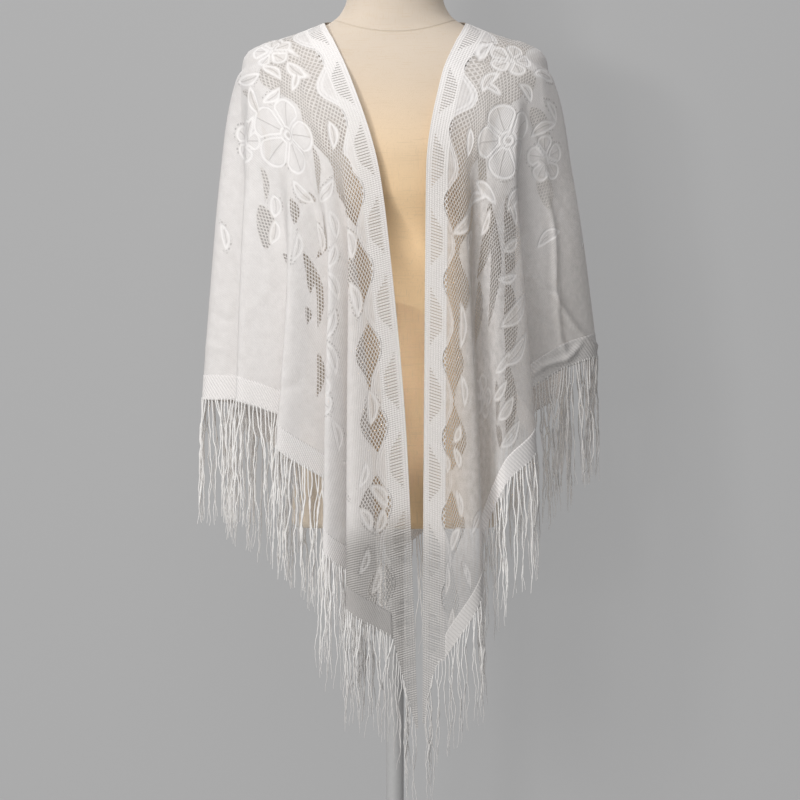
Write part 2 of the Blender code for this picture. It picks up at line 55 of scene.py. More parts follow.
# ---- the dress form
Section = namedtuple("Section", "z half_width front back")
FORM_SECTIONS = np.array(in_metres(Section, (
    (800, 129, 96, 88), (860, 127, 95, 91), (950, 116, 88, 85), (1070, 107, 84, 78),
    (1150, 116, 97, 84), (1220, 138, 119, 95), (1260, 150, 118, 101), (1310, 170, 100, 106),
    (1345, 183, 84, 103), (1368, 188.5, 74, 98), (1384, 186, 67, 91.5), (1395, 172, 62, 85.5),
    (1404, 149, 58, 79), (1415, 117, 55, 72), (1426, 88.5, 53, 66), (1440, 69, 53, 60),
    (1460, 60, 55, 54), (1500, 57, 58, 50),
)))
FORM_BOTTOM, NECK_TOP = 0.800, 1.500
BASE_TOP, CAP_TOP, STAND_GAP = 0.014, 1.5123, 0.0003
FORM_CLEARANCE = 0.0029    # from the form to the middle of the cloth, where it rests

# ---- the drape's tables
HIGH, CHEST, RIB, LOW, FOOT = 1.360, 1.240, 1.130, 0.900, 0.600
DROPS = np.array([0.0, 0.060, 0.180, 0.290, 0.520, 0.820])   # neck and heights, down a column
FOOT_SPREAD = 0.45         # below LOW a fold spreads at this share of its slope above it
Ring = namedtuple("Ring", "half_width shoulder_y back_reach shoulder_z back_z")
NECK_EDGE = Ring(0.0880, -0.004, 0.0700, 1.4285, 1.4360)
NECK_SEAM = Ring(0.1140, -0.003, 0.0830, 1.4175, 1.4110)
# "turn" is where a column starts on the neck ring, "out" the distance from the middle plane, "y"
# the depth at each height, "hem" the height of the hem.  Rows run from the front edge to the back.
Fold = namedtuple("Fold", "name turn high_out high_y chest_out chest_y rib_out rib_y "
                          "low_out low_y hem")
LEFT_FOLDS = in_metres(Fold, (
    ("edge", 0, 56, -80, 19, -130, 5, -136, -15, -147, 559),
    ("seam", 0, 83, -78, 46, -129, 32, -138, 12, -149, 668),
    ("front fold", 0, 98, -75, 64, -126, 56, -140, 57.5, -152, 702),
    ("front valley", 0, 110, -72, 74, -122, 48, -120, 29, -115, 728),
    ("middle fold", 0, 122, -69, 90, -118, 80, -130, 85, -139, 771),
    ("middle valley", 0, 135, -65, 105, -110, 79, -108, 59, -106, 835),
    ("outer fold", 0, 149, -60, 127, -103, 129, -116, 144, -119, 899),
    ("outer valley", 0, 163, -53, 144, -89, 132, -88, 116, -84, 927),
    ("arm fold", 0, 178, -42, 183, -66, 189, -76, 196, -77, 957),
    ("arm valley", 0, 189, -25, 186, -36, 180, -43, 174, -40, 959),
    ("side", 0, 197, -4, 217, -8, 227, -10, 243, -8, 959),
    ("side valley", 0, 195, 18, 205, 30, 201, 38, 196, 42, 953),
    ("back fold", 0, 187, 40, 197, 66, 205, 81, 211, 96, 932),
    ("back valley", 10, 170, 58, 167, 88, 160, 92, 153, 95, 898),
    ("spine fold", 36, 136, 80, 129, 112, 118, 129, 106, 143, 845),
    ("spine valley", 62, 70, 99, 68, 120, 60, 128, 53, 137, 800),
    ("middle back", 90, 0, 107, 0, 124, 0, 133, 0, 150, 770),
), kept=2)
RIGHT_FOLDS = in_metres(Fold, (
    ("edge", 0, 57.5, -80, 38, -130, 37, -137, 35, -147, 565),
    ("seam", 0, 84.5, -77, 65, -127, 64, -138, 62, -149, 642),
    ("front fold", 0, 109, -72, 87, -122, 89, -138, 100, -147, 712),
    ("front valley", 0, 121, -68, 100, -114, 99, -111, 105, -106, 786),
    ("middle fold", 0, 136, -63, 119, -108, 125, -122, 134, -124, 853),
    ("outer fold", 0, 153, -56, 148, -94, 156, -99, 173, -99, 896),
    ("outer valley", 0, 166, -48, 152, -74, 148, -70, 150, -62, 950),
    ("arm fold", 0, 183, -34, 188, -48, 193, -50, 202, -48, 992),
    ("side", 0, 196.5, -4, 221, -6, 238, -8, 262, -6, 1011),
    ("side valley", 0, 195, 18, 206, 30, 207, 40, 211, 46, 1002),
    ("back fold", 0, 187, 40, 197, 66, 208, 83, 220, 100, 970),
    ("back valley", 10, 170, 58, 167, 88, 161, 93, 157, 99, 928),
    ("spine fold", 36, 136, 80, 129, 112, 118, 129, 108, 143, 860),
    ("spine valley", 62, 70, 99, 68, 120, 60, 128, 53, 137, 804),
    ("middle back", 90, 0, 107, 0, 124, 0, 133, 0, 150, 770),
), kept=2)
TURN_ROUNDNESS = 0.9
HEM_BAND_WIDTH, HEM_THICKNESS = 0.031, 0.0007
EDGING_WIDTH = 0.028
SEAM = 0.0003
TAIL_TIP = 0.003           # width of a tail of the edging at its tip
TAIL_NARROWING = {-1: 1.0, 1: 0.4}   # below 1 the tail on that side narrows early
MIDDLE_OF_WALL = 0.0008    # from the inner face of the solid cloth to its middle
LEVEL = np.array([1.0, 1.0, 0.0])
MEASURED_ROWS = 0.25, 0.8  # shares of a column between which a fan's opening is measured
TINY = 1e-6

# How fine the cloth's grid is.
FRONT_PITCH, SIDE_PITCH, BACK_PITCH = 0.0026, 0.0038, 0.0048   # between columns, at LOW
FRONT_FROM, SIDE_FROM = 9, 4           # panels from the middle of the back
SAMPLES_DOWN, SAMPLE_CROWDING = 240, 1.15   # along a column; above 1 crowds them to the shoulder
BELOW_FOOT = 0.05          # how far below FOOT a column is carried on
CLOTH_ROWS = 185
HEM_ROWS = 12
TAIL_ROWS = 46
EDGING_CELLS = 14

# ---- the lace's repeat
SCALLOP = 0.0961           # length of one scallop along the long edge
SCALLOP_START = 0.0054     # where along it a group of ladder holes is widest
NET_FROM = 0.033           # where the net starts, in from the long edge
NET_WAVE = 0.009           # how far its rim waves to either side
FAR_WAVE, FAR_SLOW_WAVE = 0.011, 0.006     # how far its far rim waves, quickly and slowly
# How far in the net reaches: distances along the long edge, and its reach there.
NET_REACH_LEFT = ((0.00, 0.16, 0.20, 0.36, 0.44, 0.55, 1.00),
                  (0.085, 0.085, 0.085, 0.080, 0.060, 0.050, 0.050))
NET_REACH_RIGHT = ((0.00, 0.16, 0.20, 0.36, 0.42, 0.62, 0.70, 1.00),
                   (0.085, 0.085, 0.090, 0.085, 0.070, 0.056, 0.054, 0.054))

# ---- the picture
PICTURE_WIDTH, CAMERA_DISTANCE = 1.0, 6.0
PICTURE_MIDDLE_X, PICTURE_MIDDLE_Z = 0.00625, 0.95875
FLOOR, WALL_Y = -0.002, 0.20


# ---- curves
def cubic(f, start, end, start_slope, end_slope):
    """Hermite cubic over f from 0 to 1, with slopes per whole step."""
    return ((1 + 2 * f) * (1 - f) ** 2 * start + f * (1 - f) ** 2 * start_slope
            + f * f * (3 - 2 * f) * end + f * f * (f - 1) * end_slope)


def smooth_through(knots, values, at):
    """Piecewise cubic through values at knots; its slope is the harmonic mean of the two
    neighbouring secants where they agree in sign and 0 where they don't, so it can't overshoot."""
    steps = np.diff(knots).reshape((-1,) + (1,) * (values.ndim - 1))
    secants = np.diff(values, axis=0) / steps
    slopes = np.zeros_like(values)
    before, after = secants[:-1], secants[1:]
    weight_before = 2 * steps[1:] + steps[:-1]
    weight_after = steps[1:] + 2 * steps[:-1]
    same_way = before * after > 0
    safe_before, safe_after = np.where(same_way, before, 1.0), np.where(same_way, after, 1.0)
    mean = ((weight_before + weight_after)
            / (weight_before / safe_before + weight_after / safe_after))
    slopes[1:-1] = np.where(same_way, mean, 0.0)
    slopes[0], slopes[-1] = secants[0], secants[-1]
    cell = np.clip(np.searchsorted(knots, at, side="right") - 1, 0, len(knots) - 2)
    shape = (-1,) + (1,) * (values.ndim - 1)
    step = (knots[cell + 1] - knots[cell]).reshape(shape)
    f = (at - knots[cell]).reshape(shape) / step
    return cubic(f, values[cell], values[cell + 1], step * slopes[cell], step * slopes[cell + 1])


def sizes(vectors):
    return np.linalg.norm(vectors, axis=-1)


def unit(vectors):
    return vectors / np.maximum(sizes(vectors)[..., None], 1e-9)


def running(steps):
    """Sums of the steps so far, from 0 on, along the last axis."""
    return np.concatenate([np.zeros_like(steps[..., :1]), np.cumsum(steps, axis=-1)], axis=-1)


def between(wanted, known, points):
    """Points at the wanted distances, from points at known ones."""
    return np.stack([np.interp(wanted, known, points[:, axis]) for axis in range(3)], axis=-1)


def folded_across(stations, at):
    """Cubic across the folds; at each fold the curve runs along the bisector of its two panels,
    at a speed of TURN_ROUNDNESS times the shorter panel."""
    ahead = np.diff(stations, axis=0)
    before, after = np.concatenate([ahead[:1], ahead]), np.concatenate([ahead, ahead[-1:]])
    reach = np.minimum(sizes(before), sizes(after))[..., None]
    slopes = TURN_ROUNDNESS * reach * unit(unit(before) + unit(after))
    cell = np.minimum(at.astype(int), len(stations) - 2)
    f = (at - cell).reshape((-1,) + (1,) * (stations.ndim - 1))
    return cubic(f, stations[cell], stations[cell + 1], slopes[cell], slopes[cell + 1])


def lengths_along(lines):
    """Running length along each polyline of lines[line, point]."""
    return running(sizes(np.diff(lines, axis=1)))


RULER_STEP = 10.0          # longer than any line


def along(lines, distances):
    """Points of each polyline at its own row of distances: every line is laid end to end on one
    ruler, RULER_STEP apart, so that one interpolation serves them all."""
    lengths = lengths_along(lines)
    ruler = RULER_STEP * np.arange(len(lines))[:, None]
    known, wanted = (lengths + ruler).ravel(), (distances + ruler).ravel()
    return between(wanted, known, lines.reshape(-1, 3)).reshape(distances.shape + (3,))


# ---- the form's surface
def form_section(z):
    """Half width, centre y and half depth of the form at height z."""
    found = smooth_through(FORM_SECTIONS[:, 0], FORM_SECTIONS[:, 1:],
                           np.clip(z, FORM_BOTTOM, NECK_TOP))
    half_width, front, back = found[:, 0], found[:, 1], found[:, 2]
    return half_width, (back - front) / 2, (back + front) / 2


def form_reach(points):
    """Radius of a point in its section's ellipse: 1 on the form, less inside, more outside."""
    half_width, middle, half_depth = form_section(points[:, 2])
    return np.hypot(points[:, 0] / half_width, (points[:, 1] - middle) / half_depth)


PROBE = 0.0005             # for the slope of form_reach
PUSHES, LONGEST_PUSH = 6, 0.02
NEAR_FORM = 1.35           # reach beyond which no point is pushed


def rest_on_form(points, clearance):
    """Pushes points that are closer to the form than the clearance straight out of it, along the
    slope of form_reach."""
    shape, points = points.shape, points.reshape(-1, 3).copy()
    near = form_reach(points) < NEAR_FORM
    for _ in range(PUSHES):
        close = points[near]
        reach = form_reach(close)
        slope = np.stack([form_reach(close + probe) - form_reach(close - probe)
                          for probe in PROBE * np.eye(3)], axis=1) / (2 * PROBE)
        size = sizes(slope)
        lack = np.clip(clearance - (reach - 1) / size, 0, LONGEST_PUSH)
        points[near] += slope / size[:, None] * lack[:, None]
    return points.reshape(shape)


# ---- the drape
def ring_point(ring, side, turn):
    """Point of a neck ring: an ellipse quarter from the shoulder to the middle of the back."""
    angle = math.radians(turn)
    return np.array([side * ring.half_width * math.cos(angle),
                     ring.shoulder_y + ring.back_reach * math.sin(angle),
                     ring.shoulder_z + (ring.back_z - ring.shoulder_z) * math.sin(angle)])


def column_through(fold, side, ring):
    """The six points that a column of cloth hangs through, from the neck to below its hem."""
    spread = FOOT_SPREAD * (LOW - FOOT) / (RIB - LOW)
    foot_out = fold.low_out + spread * (fold.low_out - fold.rib_out)
    foot_y = fold.low_y + spread * (fold.low_y - fold.rib_y)
    return np.array([ring_point(ring, side, fold.turn),
                     (side * fold.high_out, fold.high_y, HIGH),
                     (side * fold.chest_out, fold.chest_y, CHEST),
                     (side * fold.rib_out, fold.rib_y, RIB),
                     (side * fold.low_out, fold.low_y, LOW),
                     (side * foot_out, foot_y, FOOT)])


def hang(stations):
    """Columns of cloth that hang through their six stations, pushed off the form."""
    at = np.linspace(0.0, 1.0, SAMPLES_DOWN) ** SAMPLE_CROWDING * (DROPS[-1] + BELOW_FOOT)
    columns = smooth_through(DROPS, np.moveaxis(stations, 1, 0), at)
    return rest_on_form(np.moveaxis(columns, 0, 1), FORM_CLEARANCE)


def length_to_hem(columns, hems):
    """Length of each column from the neck to the height of its hem."""
    lengths, heights = lengths_along(columns), columns[..., 2]
    below = np.argmax(heights < hems[:, None], axis=1)
    row = np.arange(len(columns))
    share = (heights[row, below - 1] - hems) / (heights[row, below - 1] - heights[row, below])
    return lengths[row, below - 1] + share * (lengths[row, below] - lengths[row, below - 1])


def round_body():
    """The folds from the left seam round the back to the right seam, with their sides."""
    return ([(-1, fold) for fold in LEFT_FOLDS[1:]]
            + [(1, fold) for fold in RIGHT_FOLDS[-2:0:-1]])


def column_places(stations):
    """Where the columns of the fine grid stand, in folds: closer together at the two fronts."""
    panels = sizes(np.diff(stations[:, 4], axis=0))
    middle = (len(panels) - 1) / 2
    from_back = np.abs(np.arange(len(panels)) - middle)
    pitch = np.where(from_back > FRONT_FROM, FRONT_PITCH,
                     np.where(from_back > SIDE_FROM, SIDE_PITCH, BACK_PITCH))
    counts = np.ceil(panels / pitch).astype(int)
    places = [k + np.arange(count) / count for k, count in enumerate(counts)]
    return np.append(np.concatenate(places), len(panels))


def ways_out(points):
    """Unit normal of a sheet points[across, down], away from the body.  Columns that start in one
    point share one way out there, the mean of theirs below it."""
    out = unit(np.cross(np.gradient(points, axis=0), np.gradient(points, axis=1)))
    out[:, 0] = out[:, 1]
    for start in (points[0, 0], points[-1, 0]):
        fan = sizes(points[:, 0] - start) < SEAM
        out[fan, 0] = unit(out[fan, 1].mean(axis=0))
    return out


def flat_places(sheet, rows):
    """Where each point of the sheet lay in the flat cut: along the long edge from the middle of
    the back, and in from that edge.

    Each front is a fan about the shoulder, so a point there is (A + r cos p, E + r sin p), with r
    its distance down its column, p the fan's angle up to a right angle, A half the neck's seam
    and E the edging's width.  Across the back the columns are parallel and p stays a right angle.
    """
    seam_run = running(sizes(np.diff(sheet[:, 0], axis=0)))
    half_seam = seam_run[-1] / 2
    middle = slice(*(int(share * rows.shape[1]) for share in MEASURED_ROWS))
    gaps = sizes(np.diff(sheet, axis=0))[:, middle]
    reach = 0.5 * (rows[:-1] + rows[1:])[:, middle]
    opening = (gaps / reach).mean(axis=1)
    fan_left, fan_right = seam_run[1:] < TINY, seam_run[:-1] > seam_run[-1] - TINY
    left = running(np.where(fan_left, opening, 0.0))
    right = running(np.where(fan_right, opening, 0.0)[::-1])[::-1]
    angle = np.where(seam_run < half_seam, left / left[-1], right / right[0]) * math.pi / 2
    side = np.where(seam_run < half_seam, -1.0, 1.0)
    start = np.abs(seam_run - half_seam)
    flat_along = side[:, None] * (start[:, None] + rows * np.cos(angle)[:, None])
    flat_in = EDGING_WIDTH + rows * np.sin(angle)[:, None]
    return np.stack([flat_along, flat_in], axis=-1)


# ---- creases
# Soft ridges (height above 0) and troughs (below 0) pressed into the hanging cloth, each from one
# point to another of the front or back as seen from there, with its half width.
Crease = namedtuple("Crease", "facing x1 z1 x2 z2 height half_width")
CREASES = in_metres(Crease, (
    (-1, 165, 1115, 262, 1015, 5.6, 3.4), (-1, 186, 1220, 212, 1000, 5, 3.4),
    (-1, 170, 1070, 255, 1000, -2.2, 5), (-1, 160, 1300, 215, 1180, 1.4, 5),
    (-1, 150, 1330, 200, 1260, -1.4, 5), (-1, 168, 985, 235, 1030, 4.6, 3.2),
    (-1, -235, 1062, -195, 1060, -1.2, 5), (-1, -240, 1020, -200, 1030, 1, 6),
    (-1, -190, 1040, -150, 1120, 1, 6), (-1, -150, 960, -110, 990, -1.2, 7),
    (-1, -60, 1116, -10, 1110, 1, 3), (-1, -60, 980, 0, 974, 1, 3), (-1, 40, 955, 120, 955, 1, 3),
    (-1, -120, 1320, -175, 1200, -1.6, 6), (-1, -90, 1330, -120, 1180, -1.2, 6),
    (-1, -150, 1340, -190, 1240, 1.4, 6), (-1, 100, 1330, 140, 1200, 1.2, 6),
    (1, -170, 1250, -120, 1020, 4.8, 8), (1, -110, 1300, -30, 1050, -4.4, 9),
    (1, 160, 1270, 110, 1000, 4.4, 8), (1, 100, 1320, 40, 1080, -4, 8),
    (1, 200, 1150, 120, 1080, 3.5, 5), (1, -200, 1120, -130, 1060, 3.1, 5),
    (1, -40, 1000, 50, 930, 3.1, 6), (1, 10, 1180, 60, 960, -2.6, 6),
), kept=1)
WAVER = 0.004


def creased(points, out):
    """The sheet with its creases: each adds height x exp(-(d / half_width)^2) along the way out,
    with d the distance to the crease's line, which wavers by WAVER x sin(7 x share), and the
    height fading out at both ends."""
    lift = np.zeros(points.shape[:2])
    for crease in CREASES:
        start = np.array([crease.x1, crease.z1])
        run = np.array([crease.x2, crease.z2]) - start
        length = np.linalg.norm(run)
        place = points[..., [0, 2]] - start
        share = place @ run / length ** 2
        across = (place[..., 0] * run[1] - place[..., 1] * run[0]) / length
        across = across + WAVER * np.sin(share * 7.0)
        ends = np.clip(4 * share * (1 - share), 0, None) ** 0.7
        facing = np.clip(points[..., 1] * crease.facing * 90, 0, 1)
        lift += crease.height * ends * facing * np.exp(-(across / crease.half_width) ** 2)
    return points + lift[..., None] * out


# ---- the lace's motifs
Flower = namedtuple("Flower", "turn s t size")
Leaf = namedtuple("Leaf", "turn s t length width")
PETALS = 5


def flower_field(place, flower):
    """Distance to a flower of lobed petals round a heart, and the distance across a petal.

    The outline lies 0.60 + 0.40 sqrt(|cos(5 a / 2)|) sizes from the centre, with the angle a
    counted from the middle of a petal.  Petals start 0.20 size out and keep 3 mm between them;
    the heart is a circle of 0.13 size."""
    local = place - (flower.s, flower.t)
    radius = sizes(local)
    step = 2 * math.pi / PETALS
    turn = np.arctan2(local[..., 1], local[..., 0]) - math.radians(flower.turn)
    turn = (turn + step / 2) % step - step / 2
    rim = flower.size * (0.60 + 0.40 * np.sqrt(np.abs(np.cos(PETALS * turn / 2))))
    petal = np.maximum((radius - rim) * 0.85, 0.0015 - radius * (step / 2 - np.abs(turn)))
    petal = np.maximum(petal, 0.20 * flower.size - radius)
    return np.minimum(petal, radius - 0.13 * flower.size), radius * turn


def leaf_field(place, leaf):
    """Distance to a leaf, and across its middle: the overlap of two circles whose radius makes
    the overlap as long and as wide as the leaf, bowed to one side by a tenth of its length times
    cos(3 x distance forward / length)."""
    angle = math.radians(leaf.turn)
    local = place - (leaf.s, leaf.t)
    forward = local[..., 0] * math.cos(angle) + local[..., 1] * math.sin(angle)
    across = -local[..., 0] * math.sin(angle) + local[..., 1] * math.cos(angle)
    across = across - 0.10 * leaf.length * np.cos(forward / leaf.length * 3)
    radius = (leaf.length ** 2 + leaf.width ** 2) / (4 * leaf.width)
    centre = radius - leaf.width / 2
    return np.hypot(forward, np.abs(across) + centre) - radius, across


# ---- Blender helpers
def add_mesh(name, points, faces, look, smooth=True):
    mesh = bpy.data.meshes.new(name)
    mesh.from_pydata(points.reshape(-1, 3), [], faces.tolist())
    if smooth:
        mesh.shade_smooth()
    mesh.materials.append(look)
    made = bpy.data.objects.new(name, mesh)
    bpy.context.scene.collection.objects.link(made)
    return made


def grid_faces(across, down, closed=False):
    """Quads of a grid of across x down points, listed across first; closed joins the last to the
    first across."""
    first = np.arange(across if closed else across - 1)
    i, j = np.meshgrid(first, np.arange(down - 1), indexing="ij")
    after = (i + 1) % across
    corners = [i * down + j, i * down + j + 1, after * down + j + 1, after * down + j]
    return np.stack(corners, axis=-1).reshape(-1, 4)


def set_cut(made, flat):
    """Lays the flat cut's coordinates on the mesh as its texture coordinates."""
    mesh = made.data
    layer = mesh.uv_layers.new(name="cut")
    vertex_of = np.empty(len(mesh.loops), dtype=np.int32)
    mesh.loops.foreach_get("vertex_index", vertex_of)
    layer.data.foreach_set("uv", flat.reshape(-1, 2)[vertex_of].astype(np.float32).ravel())


def set_values(made, name, values):
    """Gives each vertex a number that the materials can read."""
    layer = made.data.attributes.new(name, "FLOAT", "POINT")
    layer.data.foreach_set("value", np.asarray(values, dtype=np.float32).ravel())


def worked_out_by(operation):
    """A way of a Term that adds one math node."""
    def way(self, *others):
        return self.nodes.math(operation, self, *others)
    return way


class Term:
    """A value that a material works out at each place.  Sums, products and the rest add the nodes
    that work them out."""

    def __init__(self, nodes, socket):
        self.nodes, self.socket = nodes, socket

    __add__, __sub__ = worked_out_by("ADD"), worked_out_by("SUBTRACT")
    __mul__, __pow__ = worked_out_by("MULTIPLY"), worked_out_by("POWER")
    __abs__, sine = worked_out_by("ABSOLUTE"), worked_out_by("SINE")
    at_least, at_most = worked_out_by("MAXIMUM"), worked_out_by("MINIMUM")

    def __rsub__(self, other):
        return self.nodes.math("SUBTRACT", other, self)

    def wave(self, length, shift=0.0):
        """sin(2 pi (value / length) + shift)."""
        return self.nodes.math("MULTIPLY_ADD", self, 2 * math.pi / length, shift).sine()

    def ramp(self, low, high, bottom=0.0, top=1.0):
        """bottom below low, top above high, smoothly between."""
        node = self.nodes.add("ShaderNodeMapRange", self, low, high, bottom, top)
        node.interpolation_type = "SMOOTHSTEP"
        return Term(self.nodes, node.outputs[0])

    def noise(self, scale):
        """A soft random value over places, in marks of about 1 / scale."""
        node = self.nodes.add("ShaderNodeTexNoise", self)
        node.inputs["Scale"].default_value = scale
        return Term(self.nodes, node.outputs["Fac"])

    def stretched_noise(self, scales):
        """A noise whose marks are drawn out where its scale is small."""
        node = self.nodes.add("ShaderNodeVectorMath", self)
        node.operation = "MULTIPLY"
        node.inputs[1].default_value = scales
        return Term(self.nodes, node.outputs[0]).noise(1.0)


class Nodes:
    """A material's nodes, with terms for what they give."""

    def __init__(self, name):
        self.material = bpy.data.materials.new(name)
        self.material.use_nodes = True
        self.tree = self.material.node_tree
        self.shader = self.tree.nodes["Principled BSDF"]

    def put(self, socket, value):
        """Links a term to a socket, or sets the socket's constant; three numbers are a colour."""
        if isinstance(value, Term):
            self.tree.links.new(value.socket, socket)
        else:
            socket.default_value = (*value, 1.0) if isinstance(value, tuple) else value

    def add(self, kind, *values):
        node = self.tree.nodes.new(kind)
        for socket, value in zip(node.inputs, values):
            self.put(socket, value)
        return node

    def math(self, operation, *values):
        node = self.add("ShaderNodeMath", *values)
        node.operation = operation
        return Term(self, node.outputs[0])

    def value(self, name):
        node = self.add("ShaderNodeAttribute")
        node.attribute_name = name
        return Term(self, node.outputs["Fac"])

    def apart(self, socket):
        """The three parts of a place, and the place itself."""
        node = self.add("ShaderNodeSeparateXYZ", Term(self, socket))
        return [Term(self, part) for part in (*node.outputs, socket)]

    def cut(self):
        """Along the flat cut and in from its long edge, and both as one place."""
        node = self.add("ShaderNodeUVMap")
        node.uv_map = "cut"
        along_edge, from_edge, _, place = self.apart(node.outputs[0])
        return along_edge, from_edge, place

    def place(self):
        return self.apart(self.add("ShaderNodeTexCoord").outputs["Object"])

    def mixed(self, share, first, second):
        """The colour first where share is 0, second where it is 1."""
        node = self.add("ShaderNodeMix")
        node.data_type = "RGBA"
        for index, value in ((0, share), (6, first), (7, second)):
            self.put(node.inputs[index], value)
        return Term(self, node.outputs[2])

    def bump(self, height, distance):
        node = self.add("ShaderNodeBump")
        node.inputs["Distance"].default_value = distance
        self.put(node.inputs["Height"], height)
        self.tree.links.new(node.outputs[0], self.shader.inputs["Normal"])

    def finished(self, colour, roughness, holes=None, **others):
        """The material, with its shader's colour, roughness, holes (1 where clear) and others."""
        settings = {"base_color": colour, "roughness": roughness, **others}
        for name, value in settings.items():
            self.put(self.shader.inputs[name.replace("_", " ").title()], value)
        if holes is not None:
            self.put(self.shader.inputs["Alpha"], 1.0 - holes)
        return self.material


# ---- materials
YARN = (0.850, 0.820, 0.805)
# Painted shade: the net areas are tinted towards this darker beige, where the shaded form shows
# through.
NET_PAINTED_SHADE = (0.700, 0.650, 0.600)
GROUND_TONES = (0.835, 0.808, 0.795), (0.800, 0.770, 0.750)
# Painted shade: darker knit near the long edge on the lower fronts, and in a shaded patch further
# in.
LOWER_BORDER_SHADE, SHADED_TONE = (0.760, 0.725, 0.700), (0.730, 0.705, 0.688)
SIDE_TONE = (0.650, 0.627, 0.610)      # on the side that faces away from the key light
RIBBON = (0.865, 0.845, 0.835)
# Painted shade for the knit on the right arm and the right tail, which face away from the light.
RIGHT_PAINTED_SHADE = (0.660, 0.637, 0.620)      # on the right arm and the right tail
# The tails hang free of the form: where they start along the long edge, their tones between the
# rows and on them, darkened as painted shade, and how sheer they are.
LEFT_TAIL, RIGHT_TAIL = (-0.87, -0.81), (0.82, 0.90)
LEFT_TAIL_SHADES = (0.385, 0.368, 0.352), (0.560, 0.536, 0.516)
RIGHT_TAIL_SHADES = (0.480, 0.460, 0.445), (0.620, 0.597, 0.580)
LEFT_SHEER, RIGHT_SHEER = 0.34, 0.30
TAIL_ROW_PITCH = 0.0029
KNIT_ROUGHNESS, KNIT_SHEEN = 0.88, 0.12
LACE_VALUES = "motif", "vein", "lens", "rim"
SOFT_EDGE = -0.0008, 0.0008            # the blur of a net's rim


def net_holes(s, t, along_pitch=0.0080, down_pitch=0.0045, reach=0.46):
    """1 in the holes of a diamond net, 0 on its threads: a hole is where |sin(pi (s/a + t/b))|
    and |sin(pi (s/a - t/b))| are both large."""
    across, down = s * (math.pi / along_pitch), t * (math.pi / down_pitch)
    both = abs((across + down).sine()).at_most(abs((across - down).sine()))
    return both.ramp(reach, reach + 0.2)


def eyelet_patches(s, t):
    """A slow wave over the cut, 0 to 1: eyelets open only where it is high."""
    return s.wave(0.131, 0.9) * t.wave(0.093, 1.7) * 0.5 + 0.5


def in_tails(nodes, s, colour):
    """The colour of a knit with the rows of the two tails in it, darkened there as painted shade,
    and how sheer it is there.
    """
    rows = s.wave(TAIL_ROW_PITCH).ramp(-0.6, 0.8)
    left, right = s.ramp(*LEFT_TAIL, 1.0, 0.0), s.ramp(*RIGHT_TAIL)
    colour = nodes.mixed(left, colour, nodes.mixed(rows, *LEFT_TAIL_SHADES))
    colour = nodes.mixed(right, colour, nodes.mixed(rows, *RIGHT_TAIL_SHADES))
    return colour, (left * LEFT_SHEER + right * RIGHT_SHEER) * (1.2 - rows)


def on_right_arm(nodes):
    """1 on the front of the panel that hangs over the right arm, 0 elsewhere."""
    x, y, z, place = nodes.place()
    return x.ramp(0.160, 0.195) * y.ramp(-0.010, 0.050, 1.0, 0.0) * z.ramp(1.230, 1.330, 1.0, 0.0)


def lace_holes(s, t, motif, vein, net):
    """How open the ground is: the net's holes, wider open towards the tails, a broken line of
    eyelets round each motif, and slots along its vein."""
    holes = net_holes(s, t) * abs(s).ramp(0.30, 0.44, 0.50, 0.95) * (
        net * motif.ramp(0.0012, 0.0024))
    ring = motif.ramp(0.0010, 0.0018) * (1.0 - motif.ramp(0.0036, 0.0046))
    eyelets = net_holes(s, t, 0.0068, 0.0068, 0.50) * ring * (
        eyelet_patches(s, t).ramp(0.45, 0.60))
    slots = abs(vein).ramp(0.0005, 0.0013, 1.0, 0.0) * 0.55 * motif.ramp(-0.0034, -0.0024, 0.6, 0.0)
    return holes.at_least(eyelets * 0.45).at_least(slots)


def raised_lines(s, motif, rim):
    """The ribbons of the lace: two round each motif and two along the border net's rim, flatter
    on the lower fronts."""
    ribbon = abs(motif + 0.0010).ramp(0.0003, 0.0026, 0.9, 0.0)
    ribbon = ribbon.at_least(abs(motif + 0.0052).ramp(0.0003, 0.0024, 0.7, 0.0))
    for line in (0.0012, 0.0048):
        ribbon = ribbon.at_least(abs(rim - line).ramp(0.0004, 0.0020, 0.5, 0.0))
    return ribbon * abs(s).ramp(0.34, 0.44, 1.0, 0.6)


